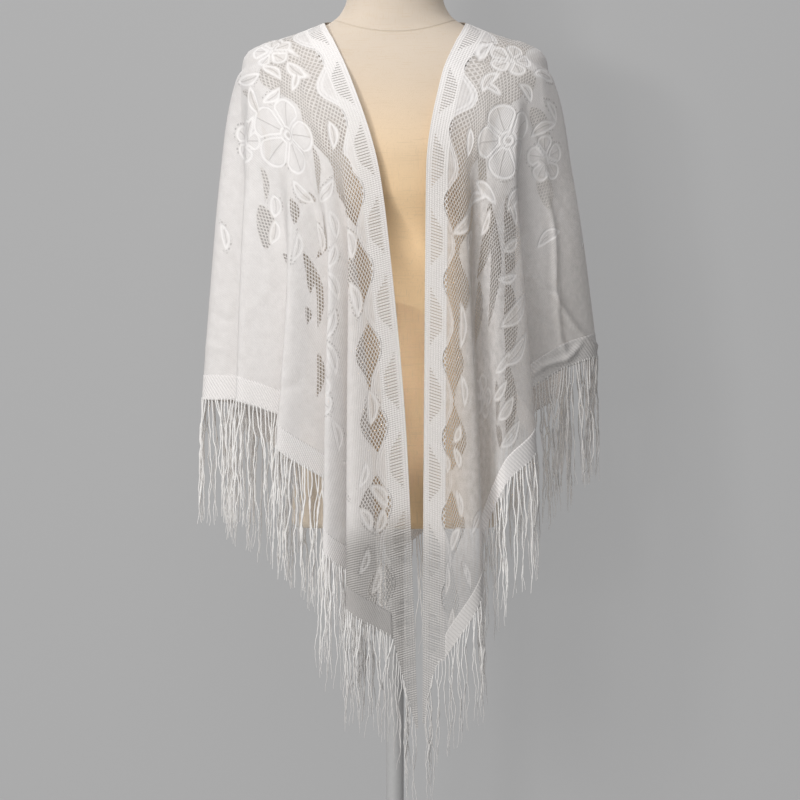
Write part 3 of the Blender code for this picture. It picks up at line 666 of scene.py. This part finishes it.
def ground_material():
    """The shawl's ground: plain knit with fine rows, nets inside lens shapes, flowers and leaves
    with a raised outline, and faint openwork further in."""
    nodes = Nodes("lace_ground_knit")
    s, t, cut = nodes.cut()
    motif, vein, lens, rim = [nodes.value(name) for name in LACE_VALUES]
    net = lens.ramp(*SOFT_EDGE, 1.0, 0.0)
    holes = lace_holes(s, t, motif, vein, net)
    ribbon = raised_lines(s, motif, rim)
    rows, patchy = t.wave(0.0024), cut.noise(90.0)

    openness = s.ramp(0.30, 0.44, 0.17, 0.40).at_least(on_right_arm(nodes) * 0.38)
    thin = openness * (cut.noise(700.0).ramp(0.35, 0.65, 0.35, 0.65) + (rows * 0.12 + patchy))
    # Painted shade: near the long edge on the lower fronts the knit takes the darker tone.
    off_edge = t.ramp(0.045, 0.110).at_least(abs(s).ramp(0.32, 0.50, 1.0, 0.0))
    tone = nodes.mixed(off_edge, LOWER_BORDER_SHADE, nodes.mixed(patchy * 0.5, *GROUND_TONES))
    tone, sheer = in_tails(nodes, s, tone)
    thin = thin.at_least(sheer) * (1.0 - ribbon)
    shaded, side = s.ramp(0.42, 0.60) * t.ramp(0.16, 0.24), s.ramp(0.16, 0.26) * t.ramp(0.24, 0.38)
    # Painted shade: the shaded patch, the side away from the key light and the net areas are mixed
    # towards darker tones.
    for share, other in ((shaded, SHADED_TONE), (side, SIDE_TONE), (net * 0.35, NET_PAINTED_SHADE)):
        tone = nodes.mixed(share, tone, other)

    row_height = (1.0 - t.ramp(0.190, 0.240)) * 0.04 + 0.03
    puff = motif.ramp(-0.0120, 0.0010, 0.8, 0.0)
    height = rows * row_height + cut.noise(420.0) * 0.22 + ribbon * 0.42
    nodes.bump(height + puff - holes * 0.6, 0.0014)
    return nodes.finished(nodes.mixed(ribbon * 0.6, tone, RIBBON), KNIT_ROUGHNESS,
                          holes.at_least(thin), sheen_weight=KNIT_SHEEN, sheen_roughness=0.5)


def edging_material():
    """The edging: a plain strip at the very edge, then groups of ladder holes, then the start of
    the border net."""
    nodes = Nodes("edging_knit")
    s, t, cut = nodes.cut()
    scallop = s.wave(SCALLOP, math.pi / 2 - 2 * math.pi * SCALLOP_START / SCALLOP)
    open_to = scallop.ramp(-0.75, 0.9, 0.0085, 0.0225)
    band = t.ramp(0.0066, 0.0076) * (t - open_to).ramp(-0.0006, 0.0006, 1.0, 0.0)
    slots = band * scallop.ramp(-0.72, -0.60) * s.wave(0.00375).ramp(0.40, 1.00, 0.0, 0.60)
    rim = scallop * NET_WAVE + NET_FROM - t
    slots = slots.at_least(net_holes(s, t) * rim.ramp(*SOFT_EDGE, 0.85, 0.0))
    raised = abs(rim - 0.0012).ramp(0.0005, 0.0014, 0.9, 0.0)
    patchy = cut.noise(60.0)
    # Painted shade: the edging is darker on the lower fronts than at the shoulders.
    tone = nodes.mixed(abs(s).ramp(0.26, 0.42), nodes.mixed(patchy, YARN, (0.830, 0.800, 0.780)),
                       nodes.mixed(patchy, (0.765, 0.730, 0.705), (0.730, 0.695, 0.665)))
    tone, sheer = in_tails(nodes, s, tone)
    nodes.bump(s.wave(0.0026) * 0.25 + t.wave(0.0033) * 0.18 - slots + raised, 0.0008)
    return nodes.finished(tone, KNIT_ROUGHNESS, slots.at_least(sheer), sheen_weight=KNIT_SHEEN)


def hem_material():
    """The hem band: fine ribs that run slantwise; s runs from the left tail to the right one."""
    nodes = Nodes("hem_band_knit")
    s, t, cut = nodes.cut()
    ribs = (t * 0.75 + s).wave(0.0042)
    left_tail, right_arm = s.ramp(0.060, 0.095, 1.0, 0.0), on_right_arm(nodes)
    holes = ribs.ramp(-0.9, -0.5, 0.16, 0.0).at_least(left_tail * 0.30).at_least(right_arm * 0.20)
    # Painted shade: the left tail's hem is much darker, and the right tail and the right arm are
    # grey.
    tone = nodes.mixed(left_tail, YARN, (0.530, 0.508, 0.492))
    tone = nodes.mixed(s.ramp(1.920, 1.990).at_least(right_arm), tone, RIGHT_PAINTED_SHADE)
    nodes.bump(ribs * 0.22 + cut.noise(300.0) * 0.3, 0.0009)
    return nodes.finished(tone, KNIT_ROUGHNESS, holes, sheen_weight=KNIT_SHEEN)


def fringe_material():
    nodes = Nodes("fringe_yarn")
    x, y, z, place = nodes.place()
    nodes.bump(place.noise(900.0), 0.0006)
    tone = nodes.mixed(place.noise(40.0), (0.920, 0.905, 0.890), (0.880, 0.860, 0.840))
    shaded = z.ramp(0.560, 0.720, 1.0, 0.0).at_least(on_right_arm(nodes))
    return nodes.finished(nodes.mixed(shaded, tone, (0.700, 0.680, 0.665)), 0.9)


def linen_material():
    """Cream linen stretched over the form, with a painted warm shade down the middle of the front
    below the bust and painted shade darkening it above 1.2 m, with the seam of its neck piece at
    z = 1.415 + 3 x^2."""
    nodes = Nodes("cream_linen")
    x, y, z, place = nodes.place()
    weave = z.wave(0.0011) * x.wave(0.0011)
    groove = abs(z - (x * x * 3.0 + 1.4150)).ramp(0.0004, 0.0016, 1.0, 0.0)
    slubs = place.stretched_noise((40.0, 40.0, 900.0)).at_least(
        place.stretched_noise((900.0, 900.0, 40.0)))
    nodes.bump(weave * 0.2 - groove, 0.0006)
    # Painted warm shade down the middle below the bust, and painted shade that darkens the linen
    # above 1.2 m.
    painted_warm_shade = nodes.mixed(place.noise(500.0), (0.900, 0.655, 0.395), (0.830, 0.590, 0.340))
    pale = nodes.mixed(z.ramp(1.200, 1.350), (0.770, 0.665, 0.545), (0.690, 0.590, 0.485))
    tone = nodes.mixed(z.ramp(1.180, 1.420).at_least(abs(x - 0.015).ramp(0.050, 0.085)), painted_warm_shade, pale)
    tone = nodes.mixed(slubs.ramp(0.56, 0.72, 0.0, 0.35), tone, (0.62, 0.47, 0.30))
    return nodes.finished(nodes.mixed(groove * 0.25, tone, (0.45, 0.34, 0.22)), 0.85,
                          sheen_weight=0.1)


def plain_material(name, colour, roughness, grain):
    """A paint of one colour with a grain that deep, 12 % darker in its specks."""
    nodes = Nodes(name)
    x, y, z, place = nodes.place()
    speckle = place.noise(200.0)
    nodes.bump(speckle, grain)
    darker = tuple(part * 0.88 for part in colour)
    return nodes.finished(nodes.mixed(speckle, colour, darker), roughness)


def wood_material():
    """Turned wood: rings round a centre beside the cap's own, in two browns."""
    nodes = Nodes("turned_wood")
    x, y, z, place = nodes.place()
    reach = ((x + 0.11) ** 2.0 + z ** 2.0 * 0.02) ** 0.5
    rings = (reach + place.noise(12.0) * 0.012).wave(0.006)
    nodes.bump(place.noise(400.0), 0.0003)
    return nodes.finished(nodes.mixed(rings.ramp(-0.6, 0.9), (0.62, 0.45, 0.28),
                                      (0.50, 0.34, 0.20)), 0.5)


# ---- form and stand
def add_rings(name, rings, look, around=96):
    """A closed body through ellipses listed from below: half width, half depth, centre y and
    height.  The first and the last have no size, and their points are welded into one."""
    half_width, half_depth, middle, height = np.array(rings).T
    turn = np.linspace(0, 2 * math.pi, around, endpoint=False)[:, None]
    points = np.stack(np.broadcast_arrays(half_width * np.cos(turn),
                                          middle + half_depth * np.sin(turn), height), axis=-1)
    outwards = grid_faces(around, len(height), closed=True)[:, ::-1]
    made = add_mesh(name, points, outwards, look)
    bm = bmesh.new()
    bm.from_mesh(made.data)
    bmesh.ops.remove_doubles(bm, verts=bm.verts[:], dist=0.00001)
    bmesh.ops.recalc_face_normals(bm, faces=bm.faces[:])
    bm.to_mesh(made.data)
    bm.free()
    made.data.shade_smooth()
    return made


def add_form():
    """Ellipse rings of the form's sections, from flat below to flat above."""
    heights = np.linspace(FORM_BOTTOM + 0.006, NECK_TOP - 0.003, 170)
    heights = np.concatenate([[FORM_BOTTOM] * 3, heights, [NECK_TOP] * 2])
    shares = np.ones(len(heights))
    shares[:3], shares[-2:] = (0.0, 0.5, 0.95), (0.95, 0.0)
    half_width, middle, half_depth = form_section(heights)
    rings = np.stack([half_width * shares, half_depth * shares, middle, heights], axis=1)
    return add_rings("linen_form", rings, linen_material(), around=144)


def plate(radius, bottom, top, edge, middle=0.0):
    """Rings of a round plate whose lower and upper edge are rounded by quarter circles."""
    quarter = np.linspace(0, math.pi / 2, 6)
    across, down = edge * (1 - np.sin(quarter)), edge * (1 - np.cos(quarter))
    radii = np.concatenate([[0.0], radius - across, radius - down, [0.0]])
    heights = np.concatenate([[bottom], bottom + down, top - across, [top]])
    return np.stack([radii, radii, np.full(len(radii), middle), heights], axis=1)


def add_stand():
    base = add_rings("round_base", plate(0.165, 0.0, BASE_TOP, 0.004),
                     plain_material("grey_enamel", (0.56, 0.56, 0.57), 0.45, 0.0002))
    tube = plate(0.011, BASE_TOP + STAND_GAP, FORM_BOTTOM - STAND_GAP, 0.001)
    pole = add_rings("stand_tube", tube,
                     plain_material("satin_grey_tube", (0.50, 0.50, 0.50), 0.6, 0.00005),
                     around=48)
    middle = form_section(np.array([NECK_TOP]))[1][0]
    cap = add_rings("turned_cap", plate(0.050, NECK_TOP + STAND_GAP, CAP_TOP, 0.004, middle),
                    wood_material())
    return base, pole, cap


# ---- the shawl
def mirrored(rows):
    """Leaves to both sides of the middle of the back, from those on its right.  Here the first
    value is how far a leaf leans from straight down, towards the middle."""
    return tuple((90 - side * lean, side * s, t, length, width)
                 for lean, s, t, length, width in rows for side in (-1, 1))


# Flowers and leaves: turn, place along the long edge and in from it, and size or length
# and width.
FLOWERS = in_metres(Flower, (
    (20, -306, 124, 52), (60, -196, 70, 24), (75, -262, 178, 28), (160, 318, 112, 50),
    (110, 216, 62, 24), (20, 280, 190, 30), (10, -640, 190, 30), (40, 640, 165, 28),
    (80, -30, 85, 34), (20, 90, 85, 26), (50, -120, 80, 26), (90, 0, 205, 44),
    (30, -125, 265, 34), (150, 125, 265, 34), (90, 0, 385, 40), (60, -105, 425, 26),
    (120, 105, 425, 26), (90, 0, 540, 30), (10, -235, 345, 26), (170, 235, 345, 26),
), kept=1)
LEAVES = in_metres(Leaf, (
    (135, -350, 210, 28, 17), (120, -370, 235, 30, 15), (-25, -245, 125, 42, 14),
    (-60, -265, 160, 42, 12), (175, -445, 105, 36, 14), (140, -480, 120, 32, 14),
    (-165, -515, 130, 44, 14), (140, -560, 145, 40, 13), (-170, -600, 155, 48, 13),
    (-175, -485, 55, 38, 13), (-170, -555, 55, 44, 12), (135, -425, 200, 36, 11),
    (155, -435, 165, 38, 12), (-180, -690, 45, 42, 13), (160, -770, 60, 32, 10),
    (-145, -800, 40, 36, 14), (-155, -825, 60, 32, 12), (160, -830, 40, 28, 12),
    (-125, -760, 130, 108, 11), (180, -695, 170, 40, 11), (5, -150, 50, 136, 11),
    (-160, -230, 80, 32, 11), (150, -255, 60, 28, 9), (160, -900, 50, 36, 10),
    (155, -875, 65, 32, 10), (-40, 450, 55, 56, 14), (125, 415, 90, 62, 12), (0, 580, 55, 56, 12),
    (-30, 715, 50, 24, 11), (30, 745, 50, 28, 12), (10, 755, 30, 22, 11), (-30, 435, 170, 32, 11),
    (-50, 475, 180, 36, 10), (-25, 505, 205, 76, 20), (-25, 550, 225, 70, 18),
    (-30, 580, 205, 44, 12), (-35, 615, 210, 44, 12), (-30, 630, 230, 48, 16),
    (-30, 655, 250, 58, 16), (-15, 430, 120, 40, 9), (45, 395, 160, 30, 10),
    (165, 340, 270, 50, 15), (160, 260, 160, 44, 14), (100, 290, 195, 44, 14),
    (85, 235, 150, 32, 10), (-5, 895, 30, 40, 10), (-20, 945, 40, 34, 12), (35, 885, 75, 36, 12),
    (140, 815, 100, 44, 10), (85, 270, 55, 32, 9), (170, 215, 35, 32, 9), (30, -100, 90, 44, 14),
    (120, -60, 160, 44, 14), (60, 40, 155, 44, 14), (100, 120, 130, 44, 14), (0, 0, 65, 40, 12),
    (20, -240, 50, 38, 13), (165, -345, 50, 36, 12), (100, -400, 100, 50, 16),
    (95, -255, 100, 34, 12), (60, -215, 110, 40, 14), (20, -375, 150, 46, 15),
    (80, -160, 55, 30, 11), (160, 260, 50, 38, 13), (15, 350, 50, 36, 12), (80, 395, 110, 50, 16),
    (80, 250, 100, 34, 12), (120, 215, 110, 40, 14), (160, 375, 160, 46, 15),
    (100, 160, 55, 30, 11), (10, 520, 90, 48, 13), (150, 470, 75, 34, 12), (165, 600, 95, 50, 14),
    (10, 660, 60, 40, 12), (20, 800, 55, 36, 12), (150, 845, 50, 36, 12),
) + mirrored((
    (50, 58, 180, 46, 15), (-30, 64, 238, 48, 16), (20, 30, 288, 50, 16), (-40, 90, 318, 40, 14),
    (60, 172, 238, 42, 14), (-60, 180, 300, 42, 14), (-40, 54, 430, 44, 15),
    (20, 30, 468, 44, 14), (50, 150, 392, 36, 13), (50, 46, 520, 34, 12), (70, 200, 370, 36, 12),
    (40, 275, 310, 34, 12),
)), kept=1)
# Lens shapes that are filled with net.
LENSES = in_metres(Leaf, (
    (160, -385, 180, 36, 14), (160, -460, 205, 56, 12), (155, -505, 230, 24, 8),
    (175, -435, 250, 78, 22), (140, -355, 240, 58, 26), (180, -395, 55, 70, 26),
    (150, -370, 105, 66, 14), (120, -435, 155, 72, 14), (-120, -390, 150, 36, 14),
    (-145, -250, 55, 36, 18), (-155, -250, 90, 36, 16), (-170, -230, 130, 28, 10),
    (165, -250, 135, 38, 10), (135, -290, 160, 52, 10), (140, -320, 200, 48, 9),
    (155, -490, 210, 84, 10), (150, -575, 255, 58, 10), (25, 375, 90, 70, 18),
    (20, 430, 170, 76, 24), (15, 560, 210, 56, 16), (20, 630, 205, 60, 12),
    (40, 670, 225, 36, 14), (160, 245, 70, 32, 16), (65, 235, 90, 42, 18), (75, 265, 150, 60, 26),
    (75, 310, 220, 48, 26), (145, 270, 80, 28, 10), (15, 475, 140, 164, 20),
    (0, 455, 120, 100, 20), (0, 545, 125, 90, 20), (5, 640, 110, 90, 16), (5, 730, 105, 90, 14),
    (20, -70, 125, 70, 20), (-20, 30, 120, 70, 20), (20, 430, 160, 110, 26),
    (20, 525, 195, 110, 28), (20, 620, 230, 100, 26), (170, -600, 120, 80, 16),
) + mirrored((
    (20, 78, 208, 90, 30), (-12, 62, 300, 110, 34), (40, 140, 330, 90, 26), (10, 80, 400, 80, 26),
    (-20, 45, 490, 80, 24), (50, 215, 300, 80, 22),
)), kept=1)


FAR_AWAY = 0.05            # a distance at which a motif no longer matters
LEAF_DEPTH = 0.0036        # inside a leaf the distance stops here, so that it has one outline


def lace_values(flat):
    """The distances that the ground's material reads, in the order of LACE_VALUES: to the nearest
    flower or leaf, across that one's vein, to the nearest net, and out to the border net's rim.

    With w = 2 pi (s - SCALLOP_START) / SCALLOP, the rim lies at t = NET_FROM + NET_WAVE cos(w),
    and the net's far rim at its reach - FAR_WAVE cos(w) + FAR_SLOW_WAVE sin(0.7 w + 1)."""
    motif, vein = np.full((2,) + flat.shape[:2], FAR_AWAY)
    for table, field in ((FLOWERS, flower_field), (LEAVES, leaf_field)):
        for entry in table:
            distance, across = field(flat, entry)
            nearer = distance < motif
            motif = np.where(nearer, distance, motif)
            if table is LEAVES:
                motif = np.maximum(motif, -LEAF_DEPTH)
            vein = np.where(nearer, across, vein)
    along_edge = flat[..., 0]
    wave = 2 * math.pi * (along_edge - SCALLOP_START) / SCALLOP
    reach = np.where(along_edge < 0, np.interp(-along_edge, *NET_REACH_LEFT),
                     np.interp(along_edge, *NET_REACH_RIGHT))
    rim = NET_FROM + NET_WAVE * np.cos(wave) - flat[..., 1]
    beyond = (flat[..., 1] - reach + FAR_WAVE * np.cos(wave)
              - FAR_SLOW_WAVE * np.sin(0.7 * wave + 1.0))
    lens = np.maximum(rim, beyond)
    for entry in LENSES:
        lens = np.minimum(lens, leaf_field(flat, entry)[0])
    return motif, vein, lens, rim


def moved_towards(points, targets, distance):
    return points + unit(targets - points) * distance


def tail_edge(hem_end, tip, side):
    """The slanted edge of a tail of the edging, from the hem's end down to its tip."""
    down = np.linspace(0, 1, TAIL_ROWS + 1)[1:, None]
    inwards = down ** TAIL_NARROWING[side]
    tip = moved_towards(tip, hem_end * LEVEL + tip * (1 - LEVEL), TAIL_TIP)
    return hem_end + (inwards * LEVEL + down * (1 - LEVEL)) * (tip - hem_end)


def drape():
    """The fine cloth: the sheet's points [across, down], the ways out there, each point's distance
    down its column, the two front edges and the neck's edge."""
    edges = {side: hang(column_through(folds[0], side, NECK_EDGE)[None])
             for side, folds in ((-1, LEFT_FOLDS), (1, RIGHT_FOLDS))}
    round_all = round_body()
    stations = np.array([column_through(fold, side, NECK_SEAM) for side, fold in round_all])
    neck = np.array([ring_point(NECK_EDGE, side, fold.turn) for side, fold in round_all])
    at = column_places(stations)
    hems = smooth_through(np.arange(len(round_all)),
                          np.array([fold.hem for side, fold in round_all]), at)
    columns = hang(folded_across(stations, at))
    lengths = length_to_hem(columns, hems)
    down = np.linspace(0, 1, CLOTH_ROWS + 1)
    band = np.linspace(1, 0, HEM_ROWS + 1)[1:]
    rows = np.concatenate([(lengths[:, None] - HEM_BAND_WIDTH) * down,
                           lengths[:, None] - HEM_BAND_WIDTH * band], axis=1)
    sheet = along(columns, rows)
    out = ways_out(sheet)
    sheet = sheet + MIDDLE_OF_WALL * out
    neck_edge = rest_on_form(folded_across(neck, at), FORM_CLEARANCE)
    return sheet, out, rows, edges, neck_edge


def edging_front(edge, hem, sheet, out, rows, side):
    """Stations of the edging down one front: outer line, seam line, distance down."""
    edge_length = length_to_hem(edge, np.array([hem]))[0]
    tail_rows = np.linspace(rows[-1], edge_length, TAIL_ROWS + 1)[1:]
    distances = np.concatenate([rows, tail_rows])
    outer = along(edge, distances[None])[0]
    inner = np.vstack([sheet, tail_edge(sheet[-1], outer[-1], side)])
    out = np.vstack([out, np.repeat(out[-1:], TAIL_ROWS, axis=0)])
    return outer + MIDDLE_OF_WALL * out, inner, distances


def add_edging(sheet, out, rows, edges, neck_edge, flat):
    left = edging_front(edges[-1], LEFT_FOLDS[0].hem, sheet[0], out[0], rows[0], -1)
    right = edging_front(edges[1], RIGHT_FOLDS[0].hem, sheet[-1], out[-1], rows[-1], 1)
    starts = sheet[:, 0]
    on_neck = (sizes(starts - starts[0]) > SEAM) & (sizes(starts - starts[-1]) > SEAM)
    neck = neck_edge[on_neck] + MIDDLE_OF_WALL * out[on_neck, 0], starts[on_neck]
    outer, inner = [np.vstack([a[::-1], b, c]) for a, b, c in zip(left, neck, right)]
    lengthwise = np.concatenate([(flat[0, 0, 0] - left[2])[::-1], flat[on_neck, 0, 0],
                                 flat[-1, 0, 0] + right[2]])
    shares = np.linspace(0, 1, EDGING_CELLS + 1)
    points = inner[:, None] + shares[:, None] * (outer - inner)[:, None]
    points = rest_on_form(points, FORM_CLEARANCE)
    from_edge = sizes(points - outer[:, None])
    made = add_mesh("scalloped_edging", points, grid_faces(*points.shape[:2]), edging_material())
    set_cut(made, np.stack([np.broadcast_to(lengthwise[:, None], from_edge.shape), from_edge], -1))
    return made


def add_hem_band(sheet):
    """The band above the fringe, with its own cut: along the hem from the left tail, and down."""
    along_hem = running(sizes(np.diff(sheet[:, -1], axis=0)))
    flat = np.stack(np.broadcast_arrays(along_hem[:, None],
                                        np.linspace(0, HEM_BAND_WIDTH, sheet.shape[1])), axis=-1)
    made = add_mesh("hem_band_knit", sheet, grid_faces(*sheet.shape[:2]), hem_material())
    set_cut(made, flat)
    solidify = made.modifiers.new("thickness", "SOLIDIFY")
    solidify.thickness, solidify.offset = HEM_THICKNESS, 0
    return made


def hem_line(sheet, edges, side):
    """The hem of one side, from the tail's tip to the middle of the back."""
    back = int(np.argmin(np.abs(sheet[:, 0, 0]) + (sheet[:, 0, 1] < 0)))
    hem = sheet[:back + 1, -1] if side < 0 else sheet[:back - 1:-1, -1]
    folds = LEFT_FOLDS if side < 0 else RIGHT_FOLDS
    length = length_to_hem(edges[side], np.array([folds[0].hem]))
    tip = along(edges[side], length[:, None])[0, 0]
    return np.vstack([tail_edge(hem[0], tip, side)[::-1], hem])


STRAND_PITCH = 0.0044
STEEP_SHARE = 0.45             # how much a steep stretch of hem counts when strands are shared out
FRINGE_LENGTH, TAIL_FRINGE_LENGTH = 0.155, 0.118
TAIL_RUN = 0.18                # length of hem over which the strands grow from the tail's
STRAND_RADIUS, TAIL_THINNESS = 0.00098, 0.72
STRAND_RINGS, STRAND_SIDES = 46, 5
SWAYS = (0.55, 1.0), (1.6, 0.55), (3.3, 0.30), (7.5, 0.14), (15.0, 0.075)   # waves, strength
SWAY_ACROSS, SWAY_THROUGH = 0.0034, 0.0026
CLUMP, CLUMP_PITCH, STRAY = 0.0055, 0.047, 0.0022   # how far strands lean together, and astray
ROOT_RISE = 0.003              # how far above the hem a strand starts


def add_fringe(name, line, seed, look):
    """Strands along a hem.  A strand's middle is its root - length x share x up, plus for both
    level ways the sum of strength x (sin(2 pi waves x share + phase) - sin(phase)) over SWAYS,
    which sets in over the first quarter, and lean x (1 - exp(-3.5 share)) across, which gathers
    the strands into clumps."""
    random = np.random.default_rng(seed)
    steps = np.diff(line, axis=0)
    run = running(np.hypot(np.hypot(steps[:, 0], steps[:, 1]), STEEP_SHARE * steps[:, 2]))
    count = int(run[-1] / STRAND_PITCH)
    at = (np.arange(count) + 0.5 + random.uniform(-0.3, 0.3, count)) / count * run[-1]
    roots = between(at, run, line)
    grown = np.clip(at / TAIL_RUN, 0, 1)
    length = TAIL_FRINGE_LENGTH + grown * (FRINGE_LENGTH - TAIL_FRINGE_LENGTH)
    length = length * (1 + random.uniform(-0.055, 0.03, count))
    across = unit(between(at, run, np.gradient(line, axis=0)) * LEVEL)
    through = np.stack([-across[:, 1], across[:, 0], np.zeros(count)], axis=1)
    share = np.linspace(0, 1, STRAND_RINGS)
    path = np.zeros((count, STRAND_RINGS, 3))
    for way, size in ((across, SWAY_ACROSS), (through, SWAY_THROUGH)):
        for waves, part in SWAYS:
            phase = random.uniform(0, 2 * math.pi, count)[:, None]
            strength = random.uniform(0.3, 1.0, count)[:, None] * size * part
            swing = np.sin(2 * math.pi * waves * share + phase) - np.sin(phase)
            path += (strength * swing * np.clip(share * 4, 0, 1))[..., None] * way[:, None]
    clump = CLUMP * np.sin(2 * math.pi * at / CLUMP_PITCH + 1.3 * np.sin(at / 0.09))
    lean = clump + random.normal(0, STRAY, count)
    path += (lean[:, None] * (1 - np.exp(-3.5 * share)))[..., None] * across[:, None]
    path += roots[:, None] - (length[:, None] * share)[..., None] * np.array([0, 0, 1.0])
    path[..., 2] += ROOT_RISE
    thick = STRAND_RADIUS * (1 - 0.70 * share ** 2.6) * random.uniform(0.8, 1.15, count)[:, None]
    thick = thick * (TAIL_THINNESS + (1 - TAIL_THINNESS) * grown)[:, None]
    turn = np.linspace(0, 2 * math.pi, STRAND_SIDES, endpoint=False)
    ring = (np.cos(turn)[:, None] * across[:, None, None]
            + np.sin(turn)[:, None] * through[:, None, None])
    points = path[:, :, None] + thick[..., None, None] * ring
    cells = grid_faces(STRAND_SIDES, STRAND_RINGS, closed=True)
    side_of, ring_of = cells // STRAND_RINGS, cells % STRAND_RINGS
    one = ring_of * STRAND_SIDES + side_of
    faces = (one + (np.arange(count) * STRAND_RINGS * STRAND_SIDES)[:, None, None]).reshape(-1, 4)
    return add_mesh(name, points, faces, look)


def add_shawl():
    sheet, out, rows, edges, neck_edge = drape()
    flat = flat_places(sheet, rows)
    ground = slice(0, CLOTH_ROWS + 1)
    band = slice(CLOTH_ROWS, None)
    sheet = creased(sheet, out)
    cloth = add_mesh("lace_ground", sheet[:, ground], grid_faces(len(sheet), CLOTH_ROWS + 1),
                     ground_material())
    set_cut(cloth, flat[:, ground])
    for name, values in zip(LACE_VALUES, lace_values(flat[:, ground])):
        set_values(cloth, name, values)
    edging = add_edging(sheet, out, rows, edges, neck_edge, flat)
    hem_band = add_hem_band(sheet[:, band])
    yarn = fringe_material()
    left = add_fringe("fringe_left", hem_line(sheet, edges, -1), 3, yarn)
    right = add_fringe("fringe_right", hem_line(sheet, edges, 1), 7, yarn)
    return cloth, edging, hem_band, left, right


# ---- camera and light
def add_camera():
    """Level and straight ahead, so far off that PICTURE_WIDTH fills the picture at the form."""
    camera = bpy.data.objects.new("camera", bpy.data.cameras.new("camera"))
    bpy.context.scene.collection.objects.link(camera)
    camera.location = (PICTURE_MIDDLE_X, -CAMERA_DISTANCE, PICTURE_MIDDLE_Z)
    camera.rotation_euler = (math.radians(90), 0, 0)
    camera.data.sensor_width = 36
    camera.data.lens = camera.data.sensor_width * CAMERA_DISTANCE / PICTURE_WIDTH
    bpy.context.scene.camera = camera


def add_area_light(name, turn, rise, distance, size, power, colour=(1, 1, 1)):
    """A square light at a turn from the front (negative to the left) and a rise, in degrees, that
    faces the place 1 m above the floor's middle."""
    turn, rise = math.radians(turn), math.radians(rise)
    light = bpy.data.lights.new(name, "AREA")
    light.size, light.energy, light.color = size, power, colour
    made = bpy.data.objects.new(name, light)
    made.location = (distance * math.sin(turn) * math.cos(rise),
                     -distance * math.cos(turn) * math.cos(rise), 1.0 + distance * math.sin(rise))
    made.rotation_euler = (math.radians(90) - rise, 0, turn)
    bpy.context.scene.collection.objects.link(made)
    return made


def add_form_light(form):
    """A narrow light that falls on the form alone, where the shawl shades it most."""
    placed = add_area_light("form_light", 0, 0, 0.75, 0.02, 0.0170)
    placed.data.shape, placed.data.size_y = "RECTANGLE", 0.30
    placed.data.spread = math.radians(8)
    placed.location, placed.rotation_euler = (0.02, -0.75, 1.03), (math.radians(90), 0, 0)
    lit = bpy.data.collections.new("lit_form")
    lit.objects.link(form)
    placed.light_linking.receiver_collection = lit


def add_plane(name, corners, look):
    return add_mesh(name, np.array(corners), np.array([[0, 1, 2, 3]]), look, smooth=False)


def add_stage(form):
    """A pale floor and a pale grey wall.  The wall glows a little, so that shadows on it stay
    faint, and it is clear from behind."""
    floor_look = Nodes("floor_paint").finished((0.62, 0.62, 0.61), 0.9)
    floor = add_plane("floor", [(-3, -4, FLOOR), (3, -4, FLOOR), (3, 4, FLOOR), (-3, 4, FLOOR)],
                      floor_look)
    nodes = Nodes("wall_paint")
    nodes.shader.inputs["Specular IOR Level"].default_value = 0.0
    behind = Term(nodes, nodes.add("ShaderNodeNewGeometry").outputs["Backfacing"])
    wall_look = nodes.finished((0.122, 0.122, 0.122), 1.0, behind,
                               emission_color=(0.301, 0.301, 0.303), emission_strength=1.0)
    wall = add_plane("wall", [(-1.6, WALL_Y, FLOOR), (1.6, WALL_Y, FLOOR),
                              (1.6, WALL_Y, 2.2), (-1.6, WALL_Y, 2.2)], wall_look)
    wall.visible_shadow = False
    add_area_light("key", -38, 11, 5.0, 0.63, 68, (1.0, 0.990, 0.980))
    add_area_light("front", -27, 8, 5.0, 1.5, 64, (1.0, 0.995, 0.985))
    add_area_light("above", -12, 57, 1.6, 1.1, 11)
    add_form_light(form)
    add_area_light("rear", 200, 35, 3.0, 1.2, 26)
    world = bpy.data.worlds.new("soft_room")
    world.use_nodes = True
    glow, strength = world.node_tree.nodes["Background"].inputs[:2]
    glow.default_value, strength.default_value = (0.21, 0.21, 0.215, 1), 1.0
    bpy.context.scene.world = world
    bpy.context.scene.view_settings.view_transform = "Standard"


# ---- putting it together
cloth, edging, hem_band, fringe_left, fringe_right = add_shawl()
form = add_form()
base, pole, cap = add_stand()
for piece, node, finish in ((cloth, "shawl_ground", "knit"), (edging, "shawl_edging", "knit"),
                            (hem_band, "shawl_hem_band", "knit"),
                            (fringe_left, "shawl_fringe_left", "fringe"),
                            (fringe_right, "shawl_fringe_right", "fringe"),
                            (form, "form_body", "linen"), (base, "stand_base", "base_paint"),
                            (pole, "stand_pole", "pole_metal"),
                            (cap, "form_neck_cap", "cap_wood")):
    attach(piece, "root")
    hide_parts(node)
add_stage(form)
add_camera()
